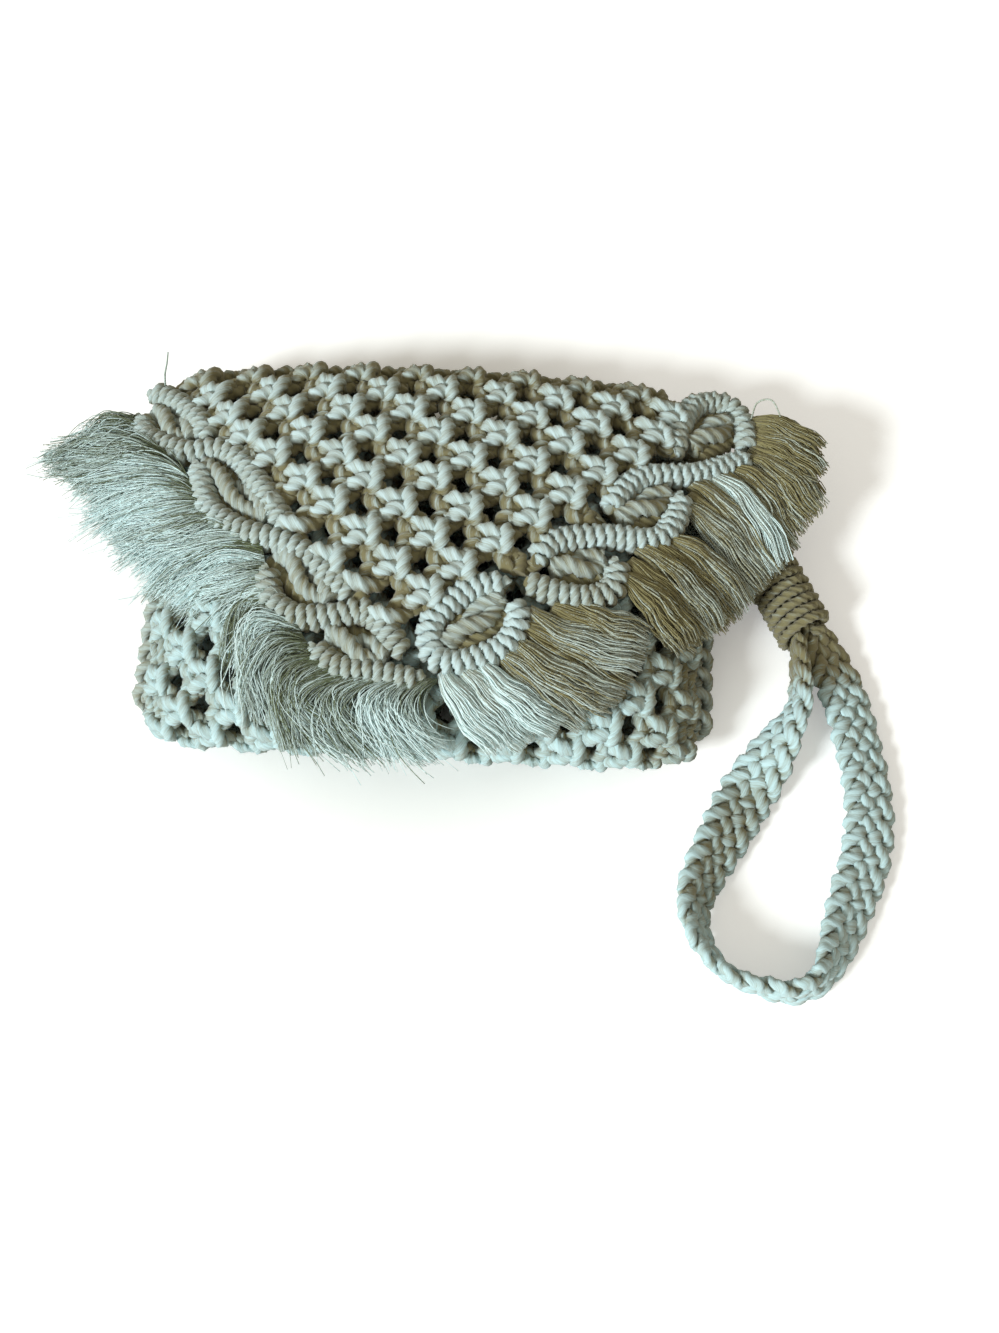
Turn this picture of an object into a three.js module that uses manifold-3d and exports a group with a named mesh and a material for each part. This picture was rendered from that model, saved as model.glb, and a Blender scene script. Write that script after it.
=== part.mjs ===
// Macrame clutch: a knotted cotton bag lying on its back, with a fringed flap and a wrist strap.
// Millimetres, +Z up. The origin is the middle of the back panel's resting face,
// +X runs along the bag to the strap's side and +Y runs up the bag to the fold of the flap.

import * as THREE from 'three';
import Module from 'manifold-3d';
import { mergeVertices } from 'three/addons/utils/BufferGeometryUtils.js';

// Knotted mat that the bag is folded from
const matThickness = 8.5;
const fitGap = 0.3;

// Bag body
const bodyWidth = 232;
const backLength = 124;
const backCornerRadius = 6;
const seamInset = 4;
const lacingRadius = 2.4;
const lacingEndInset = 4;
const mouthCordRadius = 3;

// Bottom fold and front panel, measured on the middle of the mat
const bottomDepth = 20;
const bottomRise = 38.8;
const bottomJoinAngle = 78;
const bottomCornerDepth = 9;
const bottomCornerPower = 8;
const frontCrownFromMiddle = -24;
const mouthFromMiddle = 50;
const bodySidePower = 5;

// Top fold and flap, measured on the middle of the mat
const foldDepth = 21;
const foldJoinAngle = 66;
const flapClearance = 2.4;
const flapCrownFromMiddle = -22;
const flapSideShare = 0.75;
const flapSidePower = 2.4;
const shoulderInset = 10;
const flapShoulderBelowFold = 1;

// The two slanting edges of the flap: their tip, their outward bow and their leaves.
// Lengths below the fold are measured from the top of the back panel.
// Each leaf fills its edge between two shares of the edge's length, and may reach past the ends.
// Tilt and heading are degrees from +X.
const leafOffset = 10.5;
const leafRimRadius = 4;
const leafCordHeight = 6;
const leftEdge = {
  side: -1,
  tipX: -12,
  tipBelowFold: 109,
  bow: 1.5,
  leaves: [
    { from: -0.155, to: 0.17, width: 19, tilt: -46, fringeHeading: 188, fringeLength: 38, fringeDroop: 3 },
    { from: 0.168, to: 0.568, width: 23, tilt: -45, fringeHeading: 196, fringeLength: 40, fringeDroop: 8 },
    { from: 0.566, to: 0.896, width: 22, tilt: -41, fringeHeading: 216, fringeLength: 40, fringeDroop: 8 },
    { from: 0.885, to: 1.17, width: 21, tilt: -22, fringeHeading: 250, fringeLength: 31, fringeDroop: 10 },
  ],
};
const rightEdge = {
  side: 1,
  tipX: 14,
  tipBelowFold: 98,
  bow: 9.5,
  leaves: [
    { from: -0.155, to: 0.172, width: 24, tilt: 66, fringeHeading: -8, fringeLength: 36, fringeDroop: 3 },
    { from: 0.165, to: 0.512, width: 23, tilt: 36, fringeHeading: -12, fringeLength: 42, fringeDroop: 8 },
    { from: 0.503, to: 0.822, width: 23, tilt: 16, fringeHeading: -25, fringeLength: 42, fringeDroop: 8 },
    { from: 0.82, to: 1.165, width: 25, tilt: 46, fringeHeading: -50, fringeLength: 38, fringeDroop: 8 },
  ],
};
const fringeRootWidth = 24;
const fringeTipWidth = 38;
const fringeRootThickness = 6;
const fringeTipThickness = 3;

// Wrist strap
const strapAnchorFromMiddle = 24;
const strapHeading = -62;
const strapTailRadius = 5;
const strapCoreRadius = 8;
const strapTailReach = 14;
const strapTailSide = 11;
const strapTailWidenFrom = 0.4;
const wrapCordRadius = 2;
const wrapPitch = 4.45;
const wrapTurns = 9;
const floorClearance = 0.2;
const bandWidth = 24;
const bandThickness = 7;
const bandNeckRadius = 7.2;
const bandNeckThickness = 5;
const bandNeckWidth = 10;
const bandFlareLength = 26;

// Corners of the band's section, as shares of its half width and half thickness
const bandCorners = [
  [1, 0.5],
  [0.7, 1],
  [-0.7, 1],
  [-1, 0.5],
  [-1, -0.5],
  [-0.7, -1],
  [0.7, -1],
  [1, -0.5],
];

// Route of the wrist band from the end of the wrap: x and y, then its roll from standing on edge.
const bandRoute = [
  [12, -15, -35],
  [17, -29, -60],
  [19.5, -42, -66],
  [23, -60, -66],
  [24, -78, -68],
  [21.5, -95, -66],
  [15.5, -112, -58],
  [9.5, -129, -42],
  [2.5, -143, -18],
  [-8, -148.4, -4],
  [-19, -147, 4],
  [-30, -144, 10],
  [-39, -137, 20],
  [-45, -126, 28],
  [-46, -114, 38],
  [-41.5, -101, 50],
  [-34, -86, 64],
  [-26.5, -71, 84],
  [-18, -56, 110],
  [-11, -43, 140],
  [-6, -31, 165],
  [-3, -20, 175],
];

// The band has turned over once when it comes back to the neck.
const bandLastRoll = 180;

// Facet counts
const panelColumns = 14;
const frontRows = 7;
const foldRows = 6;
const flapColumns = 12;
const flapRows = 8;
const leafSteps = 24;
const rimSides = 6;
const fringeColumns = 4;
const fringeRows = 4;
const cordSides = 10;
const cordSteps = 20;
const wrapStepsPerTurn = 24;
const wrapSides = 6;
const bandSteps = 48;
const neckSides = 12;
const backCornerSteps = 4;
const lacingSteps = 2;
const knotRings = 4;
const tailRings = 6;

// Small distances used to find the slope of a surface and to weld equal vertices
const slopeReach = 1e-4;
const weldDistance = 1e-4;

// Colours of the cotton, as dyed and as it looks in the shaded parts
const cottonColour = 0xbed0c0;
const shadedCottonColour = 0xa9b8a3;
const fringeColour = 0xc4d6c6;

const wasm = await Module();
wasm.setup();

// Values worked out from the sizes above
const matHalf = matThickness / 2;
const backMiddle = matHalf;
const halfWidth = bodyWidth / 2 - seamInset;
const backHalf = backLength / 2;
const radians = THREE.MathUtils.degToRad;
const lerp = THREE.MathUtils.lerp;

// The bottom fold is half an ellipse that leaves the back and ends where the front panel takes over.
const bottomHalfRise = bottomRise / 2;
const bottomJoin = radians(bottomJoinAngle);
const bottomJoinY = -backHalf - bottomDepth * Math.cos(bottomJoin);
const bottomJoinZ = backMiddle + bottomHalfRise * (1 + Math.sin(bottomJoin));
const bottomJoinSlope = bottomHalfRise / bottomDepth / Math.tan(bottomJoin);
const frontBend = bottomJoinSlope / (2 * (frontCrownFromMiddle - bottomJoinY));
const frontCrownZ = bottomJoinZ + frontBend * (frontCrownFromMiddle - bottomJoinY) ** 2;

// The front comes down at the sides to rest over the lacing.
const sideHeight = matThickness + 2 * fitGap + 2 * lacingRadius + matHalf;
const bodySideShare = (sideHeight - backMiddle) / bottomRise;

// The flap clears the front panel, and the top fold is the half ellipse that runs into it smoothly.
const flapCrownZ = frontCrownZ + matThickness + flapClearance;
const foldJoin = radians(foldJoinAngle);
const foldJoinY = backHalf + foldDepth * Math.cos(foldJoin);
const flapRun = foldJoinY - flapCrownFromMiddle;
const foldHalfRise = (2 * (flapCrownZ - backMiddle)) / flapRun
  / (1 / (Math.tan(foldJoin) * foldDepth) + (2 * (1 + Math.sin(foldJoin))) / flapRun);
const foldJoinZ = backMiddle + foldHalfRise * (1 + Math.sin(foldJoin));
const flapBend = (flapCrownZ - foldJoinZ) / flapRun ** 2;

// Surfaces through the middle of the mat. across runs from -1 at the left side to 1 at the right side.
function bodySwell(across) {
  return 1 - (1 - bodySideShare) * Math.abs(across) ** bodySidePower;
}

function flapSwell(across) {
  return 1 - (1 - flapSideShare) * Math.abs(across) ** flapSidePower;
}

function bottomReach(across) {
  return lerp(bottomDepth, bottomCornerDepth, Math.abs(across) ** bottomCornerPower);
}

function bottomSurface(across, angle) {
  const y = -backHalf - bottomReach(across) * Math.cos(angle);
  const rise = bottomHalfRise * (1 + Math.sin(angle));
  return new THREE.Vector3(halfWidth * across, y, backMiddle + rise * bodySwell(across));
}

function frontHeight(y) {
  return frontCrownZ - frontBend * (y - frontCrownFromMiddle) ** 2;
}

function frontSurface(across, along) {
  const start = -backHalf - bottomReach(across) * Math.cos(bottomJoin);
  const rise = frontHeight(lerp(bottomJoinY, mouthFromMiddle, along)) - backMiddle;
  const y = lerp(start, mouthFromMiddle, along);
  return new THREE.Vector3(halfWidth * across, y, backMiddle + rise * bodySwell(across));
}

function foldSurface(across, angle) {
  const y = backHalf + foldDepth * Math.cos(angle);
  const rise = foldHalfRise * (1 + Math.sin(angle));
  return new THREE.Vector3(halfWidth * across, y, backMiddle + rise * flapSwell(across));
}

function flapHeight(x, y) {
  const rise = flapCrownZ - flapBend * (y - flapCrownFromMiddle) ** 2 - backMiddle;
  return backMiddle + rise * flapSwell(x / halfWidth);
}

// Height of the top of the bag under a point of the fringe, or of the table beside the bag.
function restHeight(x, y) {
  const across = THREE.MathUtils.clamp(x / halfWidth, -1, 1);
  const overBag = Math.abs(x) < bodyWidth / 2 && y > bottomJoinY;
  const rise = (frontHeight(y) - backMiddle) * bodySwell(across);
  return overBag ? backMiddle + rise + matThickness : 0;
}

// Slanting edge of the flap from its shoulder to its tip, bowed outwards.
function edgeDirection(edge) {
  const shoulderX = edge.side * (halfWidth - shoulderInset);
  const shoulder = new THREE.Vector2(shoulderX, backHalf - flapShoulderBelowFold);
  const tip = new THREE.Vector2(edge.tipX, backHalf - edge.tipBelowFold);
  const run = tip.clone().sub(shoulder);
  const outward = new THREE.Vector2(-edge.side * run.y, edge.side * run.x).normalize();
  return { shoulder, run, outward };
}

function edgePoint(edge, share) {
  const { shoulder, run, outward } = edgeDirection(edge);
  const bow = edge.bow * 4 * share * (1 - share);
  return shoulder.clone().addScaledVector(run, share).addScaledVector(outward, bow);
}

// Oval outline of a leaf's rim, moved outwards by offset.
// The outside of the rim fits the leaf's stretch of the edge.
function leafOutline(edge, leaf, offset) {
  const { run, outward } = edgeDirection(edge);
  const centre = edgePoint(edge, (leaf.from + leaf.to) / 2).addScaledVector(outward, leafOffset);
  const halfLength = ((leaf.to - leaf.from) * run.length() - 2 * leafRimRadius - fitGap) / 2;
  const halfBreadth = leaf.width / 2;
  const points = [];
  for (let step = 0; step < leafSteps; step += 1) {
    const angle = (2 * Math.PI * step) / leafSteps;
    const point = new THREE.Vector2(halfLength * Math.cos(angle), halfBreadth * Math.sin(angle));
    const normal = new THREE.Vector2(Math.cos(angle) / halfLength, Math.sin(angle) / halfBreadth);
    point.addScaledVector(normal.normalize(), offset);
    points.push(point.rotateAround(new THREE.Vector2(), radians(leaf.tilt)).add(centre));
  }
  return points;
}

// Closed geometry from vertices and triangles, turned the right way out.
function closedGeometry(vertices, triangles) {
  let volume = 0;
  for (let i = 0; i < triangles.length; i += 3) {
    const [a, b, c] = [0, 1, 2].map((corner) => vertices[triangles[i + corner]]);
    volume += a.dot(b.clone().cross(c));
  }
  const faces = volume < 0 ? triangles.slice().reverse() : triangles;
  const geometry = new THREE.BufferGeometry().setFromPoints(vertices);
  geometry.setIndex(faces);
  geometry.computeVertexNormals();
  return geometry;
}

// Values evenly spaced from start to end.
function spaced(start, end, steps) {
  return Array.from({ length: steps + 1 }, (_, step) => lerp(start, end, step / steps));
}

// Values from -1 to 1 that crowd towards both ends, where the sides of the bag turn down.
function crowded(steps) {
  return spaced(-1, 1, steps).map((value) => Math.sin((value * Math.PI) / 2));
}

// Plate between two sheets of points, each a function of two parameters.
function plate(lower, upper, columns, rows) {
  const vertices = [];
  for (const sheet of [lower, upper]) {
    for (const v of rows) {
      for (const u of columns) {
        vertices.push(sheet(u, v));
      }
    }
  }
  const width = columns.length;
  const sheetSize = width * rows.length;
  const triangles = [];
  function quad(a, b, c, d) {
    triangles.push(a, b, c, a, c, d);
  }
  for (let row = 0; row + 1 < rows.length; row += 1) {
    for (let column = 0; column + 1 < width; column += 1) {
      const first = row * width + column;
      quad(first, first + width, first + width + 1, first + 1);
      const above = first + sheetSize;
      quad(above, above + 1, above + width + 1, above + width);
    }
    const left = row * width;
    const right = left + width - 1;
    quad(left, left + sheetSize, left + width + sheetSize, left + width);
    quad(right, right + width, right + width + sheetSize, right + sheetSize);
  }
  for (let column = 0; column + 1 < width; column += 1) {
    const start = column;
    const end = sheetSize - width + column;
    quad(start, start + 1, start + 1 + sheetSize, start + sheetSize);
    quad(end, end + sheetSize, end + 1 + sheetSize, end + 1);
  }
  return closedGeometry(vertices, triangles);
}

// Mat of even thickness along a surface. Its two sheets lie half a mat off the surface's middle.
function mat(surface, columns, rows) {
  function offset(distance) {
    return (u, v) => {
      const alongU = surface(u + slopeReach, v).sub(surface(u - slopeReach, v));
      const alongV = surface(u, v + slopeReach).sub(surface(u, v - slopeReach));
      const normal = alongU.cross(alongV).normalize();
      return surface(u, v).addScaledVector(normal, distance);
    };
  }
  return plate(offset(-matHalf), offset(matHalf), columns, rows);
}

// Tube of rings, each a list of points, closed on itself or closed by flat ends.
function ringTube(rings, closed) {
  const sides = rings[0].length;
  const triangles = [];
  const spans = closed ? rings.length : rings.length - 1;
  for (let ring = 0; ring < spans; ring += 1) {
    const here = ring * sides;
    const next = ((ring + 1) % rings.length) * sides;
    for (let side = 0; side < sides; side += 1) {
      const other = (side + 1) % sides;
      triangles.push(here + side, here + other, next + other, here + side, next + other, next + side);
    }
  }
  if (!closed) {
    const last = (rings.length - 1) * sides;
    for (let side = 1; side + 1 < sides; side += 1) {
      triangles.push(0, side + 1, side, last, last + side, last + side + 1);
    }
  }
  return closedGeometry(rings.flat(), triangles);
}

// Round ring of points about a centre, spanned by two unit vectors.
function roundRing(centre, first, second, radius, sides) {
  return Array.from({ length: sides }, (_, side) => {
    const angle = (2 * Math.PI * side) / sides;
    return centre.clone().addScaledVector(first, radius * Math.cos(angle))
      .addScaledVector(second, radius * Math.sin(angle));
  });
}

// Cord of round section along a smooth curve through the given points.
function cord(points, radius, steps) {
  const section = new THREE.Shape();
  section.absarc(0, 0, radius, 0, 2 * Math.PI);
  const extrudePath = new THREE.CatmullRomCurve3(points);
  return new THREE.ExtrudeGeometry(section, { steps, curveSegments: cordSides / 2, extrudePath });
}

// Solid for joining and cutting, and back again.
function toSolid(geometry) {
  const bare = geometry.clone();
  bare.deleteAttribute('normal');
  bare.deleteAttribute('uv');
  const merged = mergeVertices(bare, weldDistance);
  const vertProperties = new Float32Array(merged.attributes.position.array);
  const triVerts = new Uint32Array(merged.index.array);
  return new wasm.Manifold(new wasm.Mesh({ numProp: 3, vertProperties, triVerts }));
}

function toGeometry(solid) {
  const mesh = solid.getMesh();
  const geometry = new THREE.BufferGeometry();
  geometry.setAttribute('position', new THREE.BufferAttribute(mesh.vertProperties, 3));
  geometry.setIndex(new THREE.BufferAttribute(mesh.triVerts, 1));
  geometry.computeVertexNormals();
  return geometry;
}

// Upright prisms that hold every leaf with its gap, to trim the mat along the leaves.
function leafCutters() {
  const depth = flapCrownZ + matThickness;
  return [leftEdge, rightEdge].flatMap((edge) => edge.leaves.map((leaf) => {
    const outline = new THREE.Shape(leafOutline(edge, leaf, leafRimRadius + fitGap));
    return toSolid(new THREE.ExtrudeGeometry(outline, { depth, bevelEnabled: false }));
  }));
}

function trimmedByLeaves(geometry) {
  return toGeometry(leafCutters().reduce((solid, cutter) => solid.subtract(cutter), toSolid(geometry)));
}

// Bag body pieces
function backPanel() {
  const cornerX = bodyWidth / 2 - backCornerRadius;
  const cornerY = backHalf - fitGap - backCornerRadius;
  const quarter = Math.PI / 2;
  const corners = [[1, 1], [-1, 1], [-1, -1], [1, -1]];
  const outline = new THREE.Shape();
  corners.forEach(([sideX, sideY], turn) => {
    const start = turn * quarter;
    outline.absarc(sideX * cornerX, sideY * cornerY, backCornerRadius, start, start + quarter);
  });
  const settings = { depth: matThickness, bevelEnabled: false, curveSegments: backCornerSteps };
  return new THREE.ExtrudeGeometry(outline, settings);
}

function bottomFold() {
  const joinGap = fitGap / bottomCornerDepth;
  return mat(bottomSurface, crowded(panelColumns), spaced(-Math.PI / 2, bottomJoin - joinGap, foldRows));
}

function frontPanel() {
  return mat(frontSurface, crowded(panelColumns), spaced(0, 1, frontRows));
}

function foldBackHalf() {
  return mat(foldSurface, crowded(panelColumns), spaced(-Math.PI / 2, -fitGap / foldHalfRise, foldRows));
}

function sideLacing(side) {
  const z = matThickness + fitGap + lacingRadius;
  const ends = [-backHalf + lacingEndInset, 0, mouthFromMiddle - lacingEndInset];
  return cord(ends.map((y) => new THREE.Vector3(side * halfWidth, y, z)), lacingRadius, lacingSteps);
}

function mouthCord() {
  const past = fitGap + mouthCordRadius;
  const points = crowded(cordSteps).map((across) => {
    const point = frontSurface(across, 1);
    point.y += past;
    return point;
  });
  return cord(points, mouthCordRadius, cordSteps);
}

// Flap pieces
function foldFrontHalf() {
  const angles = spaced(fitGap / foldHalfRise, foldJoin, foldRows);
  return trimmedByLeaves(mat(foldSurface, crowded(panelColumns), angles));
}

function flapPanel() {
  const topY = foldJoinY - fitGap;
  const top = { left: new THREE.Vector2(-halfWidth, topY), right: new THREE.Vector2(halfWidth, topY) };
  function middle(u, v) {
    const below = Math.max(v, 0);
    const left = v < 0 ? top.left.clone() : edgePoint(leftEdge, below);
    const right = v < 0 ? top.right.clone() : edgePoint(rightEdge, below);
    if (v < 0) {
      left.lerp(edgePoint(leftEdge, 0), 1 + v);
      right.lerp(edgePoint(rightEdge, 0), 1 + v);
    }
    return left.lerp(right, (u + 1) / 2);
  }
  function sheet(distance) {
    return (u, v) => {
      const { x, y } = middle(u, v);
      const riseX = flapHeight(x + slopeReach, y) - flapHeight(x - slopeReach, y);
      const riseY = flapHeight(x, y + slopeReach) - flapHeight(x, y - slopeReach);
      const normal = new THREE.Vector3(-riseX, -riseY, 2 * slopeReach).normalize();
      return new THREE.Vector3(x, y, flapHeight(x, y)).addScaledVector(normal, distance);
    };
  }
  const rows = [-1, ...spaced(0, 1, flapRows)];
  return trimmedByLeaves(plate(sheet(-matHalf), sheet(matHalf), spaced(-1, 1, flapColumns), rows));
}

function leafRim(edge, leaf) {
  const up = new THREE.Vector3(0, 0, 1);
  const inner = leafOutline(edge, leaf, 0);
  const outer = leafOutline(edge, leaf, 1);
  const rings = inner.map((point, step) => {
    const outward = outer[step].clone().sub(point).normalize();
    const centre = new THREE.Vector3(point.x, point.y, flapHeight(point.x, point.y));
    return roundRing(centre, new THREE.Vector3(outward.x, outward.y, 0), up, leafRimRadius, rimSides);
  });
  return ringTube(rings, true);
}

function leafCords(edge, leaf) {
  const outline = leafOutline(edge, leaf, -leafRimRadius - fitGap);
  const levels = [-leafCordHeight / 2, leafCordHeight / 2];
  const rings = levels.map((level) => outline.map(({ x, y }) => {
    const z = flapHeight(x, y) + level;
    return new THREE.Vector3(x, y, z);
  }));
  return ringTube(rings, false);
}

function leafFringe(edge, leaf) {
  const heading = radians(leaf.fringeHeading);
  const forward = new THREE.Vector2(Math.cos(heading), Math.sin(heading));
  const sideways = new THREE.Vector2(-forward.y, forward.x);
  const outline = leafOutline(edge, leaf, leafRimRadius + fitGap);
  const root = outline.reduce((best, point) => (point.dot(forward) > best.dot(forward) ? point : best));
  const rootHeight = flapHeight(root.x, root.y);
  function sheet(face) {
    return (u, v) => {
      const width = lerp(fringeRootWidth, fringeTipWidth, v);
      const thickness = lerp(fringeRootThickness, fringeTipThickness, v);
      const place = root.clone().addScaledVector(forward, leaf.fringeLength * v)
        .addScaledVector(sideways, (u * width) / 2);
      const lying = restHeight(place.x, place.y) + thickness / 2;
      const z = Math.max(rootHeight - leaf.fringeDroop * v * v, lying);
      return new THREE.Vector3(place.x, place.y, z + (face * thickness) / 2);
    };
  }
  return plate(sheet(-1), sheet(1), spaced(-1, 1, fringeColumns), spaced(0, 1, fringeRows));
}

// Wrist strap pieces. The strap's own group has its origin at the knot in the side seam.
const wrapRadius = strapCoreRadius + fitGap + wrapCordRadius;
const strapAxisZ = wrapRadius + wrapCordRadius + floorClearance;
const strapAnchor = new THREE.Vector3(
  bodyWidth / 2 + fitGap + strapTailRadius,
  strapAnchorFromMiddle,
  strapTailRadius + floorClearance,
);
const strapForward = new THREE.Vector3(Math.cos(radians(strapHeading)), Math.sin(radians(strapHeading)), 0);
const strapSideways = new THREE.Vector3(-strapForward.y, strapForward.x, 0);
const strapUp = new THREE.Vector3(0, 0, 1);
const wrapLength = wrapTurns * wrapPitch + 2 * wrapCordRadius;
const wrapStart = strapForward.clone().multiplyScalar(strapTailReach)
  .addScaledVector(strapSideways, strapTailSide)
  .addScaledVector(strapUp, strapAxisZ - strapAnchor.z);
const wrapEnd = wrapStart.clone().addScaledVector(strapForward, wrapLength);
const neckCentre = wrapEnd.clone().addScaledVector(strapForward, fitGap + bandNeckRadius);

// Knot in the seam, the cords that leave it and the bundle of cords inside the wrap, all one piece.
function strapTail() {
  const rings = [];
  const bend = wrapStart.clone().setZ(0).multiplyScalar(0.5);
  const away = bend.clone().normalize();
  function ring(centre, direction, radius) {
    const across = strapUp.clone().cross(direction).normalize();
    rings.push(roundRing(centre, across, strapUp, radius, cordSides));
  }
  for (let step = 1; step <= knotRings; step += 1) {
    const angle = (Math.PI / 2) * (step / knotRings);
    const back = away.clone().multiplyScalar(-strapTailRadius * Math.cos(angle));
    ring(back, away, strapTailRadius * Math.sin(angle));
  }
  const path = new THREE.QuadraticBezierCurve3(new THREE.Vector3(), bend, wrapStart);
  for (let step = 1; step <= tailRings; step += 1) {
    const share = step / tailRings;
    const widen = THREE.MathUtils.smoothstep(share, strapTailWidenFrom, 1);
    const turned = away.clone().lerp(strapForward, share).normalize();
    ring(path.getPoint(share), turned, lerp(strapTailRadius, strapCoreRadius, widen));
  }
  ring(wrapEnd, strapForward, strapCoreRadius);
  return ringTube(rings, false);
}

// Helix of the gathering cord, with a straight end of one cord diameter at each end.
function strapWrap() {
  const steps = wrapTurns * wrapStepsPerTurn;
  const lead = wrapStart.clone().addScaledVector(strapForward, wrapCordRadius);
  const points = [];
  for (let step = 0; step <= steps; step += 1) {
    const angle = Math.PI / 2 + (2 * Math.PI * step) / wrapStepsPerTurn;
    const along = (wrapPitch * step) / wrapStepsPerTurn;
    points.push(lead.clone().addScaledVector(strapForward, along)
      .addScaledVector(strapSideways, wrapRadius * Math.cos(angle))
      .addScaledVector(strapUp, wrapRadius * Math.sin(angle)));
  }
  const straight = 2 * wrapCordRadius;
  points.unshift(points[0].clone().addScaledVector(strapSideways, straight));
  points.push(points[steps + 1].clone().addScaledVector(strapSideways, -straight));
  const rings = points.map((point, index) => {
    const before = points[Math.max(index - 1, 0)];
    const after = points[Math.min(index + 1, points.length - 1)];
    const tangent = after.clone().sub(before).normalize();
    const across = strapForward.clone().addScaledVector(tangent, -tangent.dot(strapForward)).normalize();
    return roundRing(point, across, tangent.clone().cross(across), wrapCordRadius, wrapSides);
  });
  reportWrapGap(points);
  return ringTube(rings, false);
}

// Least clear gap between turns of the wrap, over points at least half a turn apart.
function reportWrapGap(points) {
  let least = Infinity;
  points.forEach((point, index) => {
    points.slice(index + wrapStepsPerTurn / 2).forEach((other) => {
      least = Math.min(least, point.distanceTo(other) - 2 * wrapCordRadius);
    });
  });
  console.log(`strap_wrap: least gap between turns ${least.toFixed(3)} mm`);
}

// Flat band from the neck, round the loop and back to the neck, with the round neck joined on.
function wristBand() {
  const neckSpread = bandNeckThickness / 2 + fitGap;
  const route = bandRoute.map(([x, y]) => wrapEnd.clone().add(new THREE.Vector3(x, y, 0)));
  const firstPoint = neckCentre.clone().addScaledVector(strapSideways, neckSpread);
  const lastPoint = neckCentre.clone().addScaledVector(strapSideways, -neckSpread);
  const points = [firstPoint, ...route, lastPoint];
  const rolls = [0, ...bandRoute.map(([, , roll]) => roll), bandLastRoll];
  const path = new THREE.CatmullRomCurve3(points, false, 'centripetal');
  const rollPoints = rolls.map((roll, index) => new THREE.Vector3(index, roll, 0));
  const rollCurve = new THREE.CatmullRomCurve3(rollPoints);
  const rings = spaced(0, 1, bandSteps).map((share) => {
    const centre = path.getPoint(share);
    const tangent = path.getTangent(share).setZ(0).normalize();
    const across = strapUp.clone().cross(tangent);
    const roll = radians(rollCurve.getPoint(share).y);
    const fromNeck = centre.distanceTo(neckCentre);
    const flared = THREE.MathUtils.smoothstep(fromNeck, bandNeckRadius, bandFlareLength);
    const halfBand = lerp(bandNeckWidth, bandWidth, flared) / 2;
    const halfThick = lerp(bandNeckThickness, bandThickness, flared) / 2;
    const halfHeight = halfBand * Math.abs(Math.cos(roll)) + halfThick * Math.abs(Math.sin(roll));
    centre.z = lerp(neckCentre.z, halfHeight + floorClearance - strapAnchor.z, flared);
    const wide = strapUp.clone().multiplyScalar(Math.cos(roll)).addScaledVector(across, Math.sin(roll));
    const thick = across.clone().multiplyScalar(Math.cos(roll)).addScaledVector(strapUp, -Math.sin(roll));
    return bandCorners.map(([w, t]) => centre.clone()
      .addScaledVector(wide, w * halfBand).addScaledVector(thick, t * halfThick));
  });
  const neck = new THREE.SphereGeometry(bandNeckRadius, neckSides, neckSides / 2);
  neck.translate(neckCentre.x, neckCentre.y, neckCentre.z);
  return toGeometry(toSolid(ringTube(rings, false)).add(toSolid(neck)));
}

function named(name, geometry, colour) {
  const material = new THREE.MeshStandardMaterial({ color: colour, roughness: 0.95, metalness: 0 });
  const mesh = new THREE.Mesh(geometry, material);
  mesh.name = name;
  return mesh;
}

const bag = new THREE.Group();
bag.add(
  named('back_panel', backPanel(), cottonColour),
  named('bottom_fold', bottomFold(), cottonColour),
  named('front_panel', frontPanel(), cottonColour),
  named('fold_back_half', foldBackHalf(), cottonColour),
  named('left_side_lacing', sideLacing(-1), shadedCottonColour),
  named('right_side_lacing', sideLacing(1), shadedCottonColour),
  named('mouth_cord', mouthCord(), shadedCottonColour),
);

const flap = new THREE.Group();
flap.add(
  named('fold_front_half', foldFrontHalf(), cottonColour),
  named('flap_panel', flapPanel(), cottonColour),
);
for (const edge of [leftEdge, rightEdge]) {
  const side = edge.side < 0 ? 'left' : 'right';
  edge.leaves.forEach((leaf, index) => {
    flap.add(
      named(`${side}_leaf_rim_${index + 1}`, leafRim(edge, leaf), cottonColour),
      named(`${side}_leaf_cords_${index + 1}`, leafCords(edge, leaf), shadedCottonColour),
      named(`${side}_fringe_${index + 1}`, leafFringe(edge, leaf), fringeColour),
    );
  });
}

const strap = new THREE.Group();
strap.position.copy(strapAnchor);
strap.add(
  named('strap_tail', strapTail(), shadedCottonColour),
  named('strap_wrap', strapWrap(), cottonColour),
  named('wrist_band', wristBand(), cottonColour),
);

const clutch = new THREE.Group();
clutch.add(bag, flap, strap);

export default clutch;
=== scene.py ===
import math

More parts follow.
